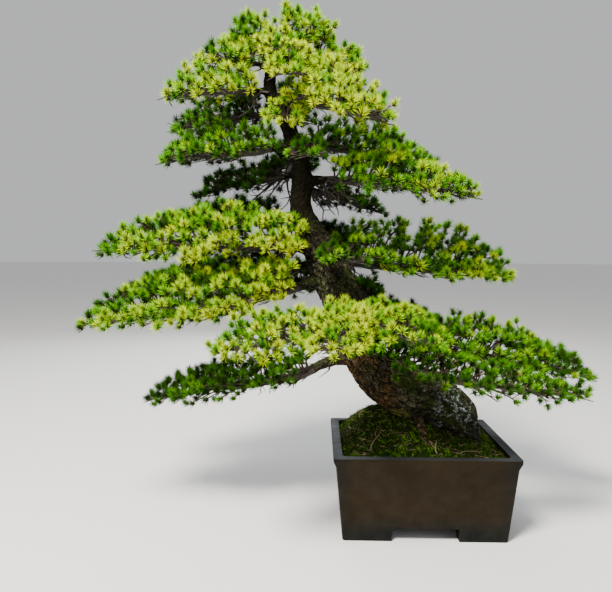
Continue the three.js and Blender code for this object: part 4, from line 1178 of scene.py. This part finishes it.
    def hang_twig(self, distance, side, length, kind):
        """An old twig with two forks, from the limb outward and down by a share of its length."""
        rng = self.rng
        _, drops, thick = kind
        drop = rng.uniform(*drops)
        heading = self.level(distance)
        out = unit(turned(heading, np.cross(heading, UP), rng.choice([-1, 1]) * side))
        aside = np.cross(out, UP)
        steps = np.linspace(0, 1, 6)
        sway = 0.24 * length * np.sin(rng.uniform(0, 6) + 6 * steps) * steps
        fall = length * drop * steps
        line = bent(self.limb.point(distance), (out, length * steps), (UP, fall), (aside, sway))
        grey = rng.uniform(0, 0.5)
        self.add_wood(line, thick, BARE_TIP, grey=grey)
        for fork in (2, 3):
            turn = rng.choice([-1, 1]) * rng.uniform(0.5, 0.9)
            away = turned(out, aside, turn) + UP * rng.uniform(-0.5, 0.3)
            reach = length * rng.uniform(0.25, 0.45)
            branch = line[fork] + away * (reach * np.linspace(0, 1, 3))[:, None]
            self.add_wood(branch, 0.6 * thick, FORK_TIP, grey=grey)

    def build_wood(self, material):
        limb = self.limb
        soup = Soup()
        rings = max(8, int((limb.line.length - limb.bare) / 9))
        distance = np.linspace(limb.bare - 2, limb.line.length, rings)
        radius = limb.radius(distance) * (1 + 0.10 * np.sin(distance / 7 + limb.width))
        add_tubes(soup, limb.point(distance)[None], radius[None], 9, (0.0, 0.35, 0, 1))
        for rings in sorted({len(row[0]) for row in self.wood}):
            group = [row for row in self.wood if len(row[0]) == rings]
            lines = np.array([row[0] for row in group])
            radii = np.array([np.linspace(row[1], row[2], rings) for row in group])
            shades = np.array([[row[3], row[4], 0, 1] for row in group])
            add_tubes(soup, lines, radii, 4 if rings > 4 else 3, shades)
        soup.build(f"twigs_{limb.name}", material, smooth_faces=True)

    def build_needles(self, material):
        """Needles that open round each tuft's axis, the later ones further back and leaning further out."""
        limb, rng = self.limb, self.rng
        soup = Soup()
        columns = zip(*self.tufts.rows[self.first:])
        places, axes, suns, sizes = (np.array(column) for column in columns)
        count, per = len(places), NEEDLES_PER_TUFT
        turn = np.arange(per) * GOLDEN_ANGLE + rng.uniform(0, 6.28, (count, 1))
        turn = turn + rng.normal(0, 0.2, (count, per))
        rank = (np.arange(per) + rng.uniform(0, 1, (count, per))) / per
        lean = np.radians(NEEDLE_LEAN + NEEDLE_FAN * rank**0.72 + rng.normal(0, 5, (count, per)))
        out = spokes(turn, axes, least_axis(axes))
        heading = unit(np.cos(lean)[..., None] * axes[:, None] + np.sin(lean)[..., None] * out + UP * 0.10)
        back = NEEDLE_SETBACK * rank * sizes[:, None]
        feet = (places[:, None] - axes[:, None] * back[..., None] + out * 0.8).reshape(-1, 3)
        lengths = NEEDLE_LENGTH * sizes[:, None] * rng.uniform(0.82, 1.08, (count, per))
        lengths = lengths * (1 - 0.12 * (1 - rank))
        own = np.clip(0.5 + rng.normal(0, 0.34, (count, 1)), 0, 1) + rng.normal(0, 0.08, (count, per))
        light = suns[:, None] + 0.10 * (heading[..., 2] - 0.4)
        shades = shade_rows(np.clip(light, 0, 1.25), np.clip(own, 0, 1)).reshape(-1, 4)
        add_needles(soup, feet, heading.reshape(-1, 3), lengths.ravel(), NEEDLE_RADIUS, shades)
        needles = soup.build(f"needles_{limb.name}", material)
        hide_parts(f"spray_{limb.name}")


# Assembly

add_camera()
add_stage()

build_pot(clay_material())
dress(frame["nodes"]["soil"].data, soil_material())
screen = screen_material()
for name in ("drain_screen_1", "drain_screen_2"):
    dress(frame["nodes"][name].data, screen)

rng = np.random.default_rng(GROUND_SEED)
build_moss(moss_material(), rng)
build_litter(litter_material(), rng)

limbs = [Limb(name, row) for name, row in LIMBS.items()]
build_trunk(bark_material(), limbs)

wood, leaf = twig_material(), needle_material()
tufts = Tufts()
for index, limb in enumerate(limbs):
    spray = Spray(limb, tufts, np.random.default_rng(FIRST_SPRAY_SEED + index))
    spray.build_wood(wood)
    spray.build_needles(leaf)
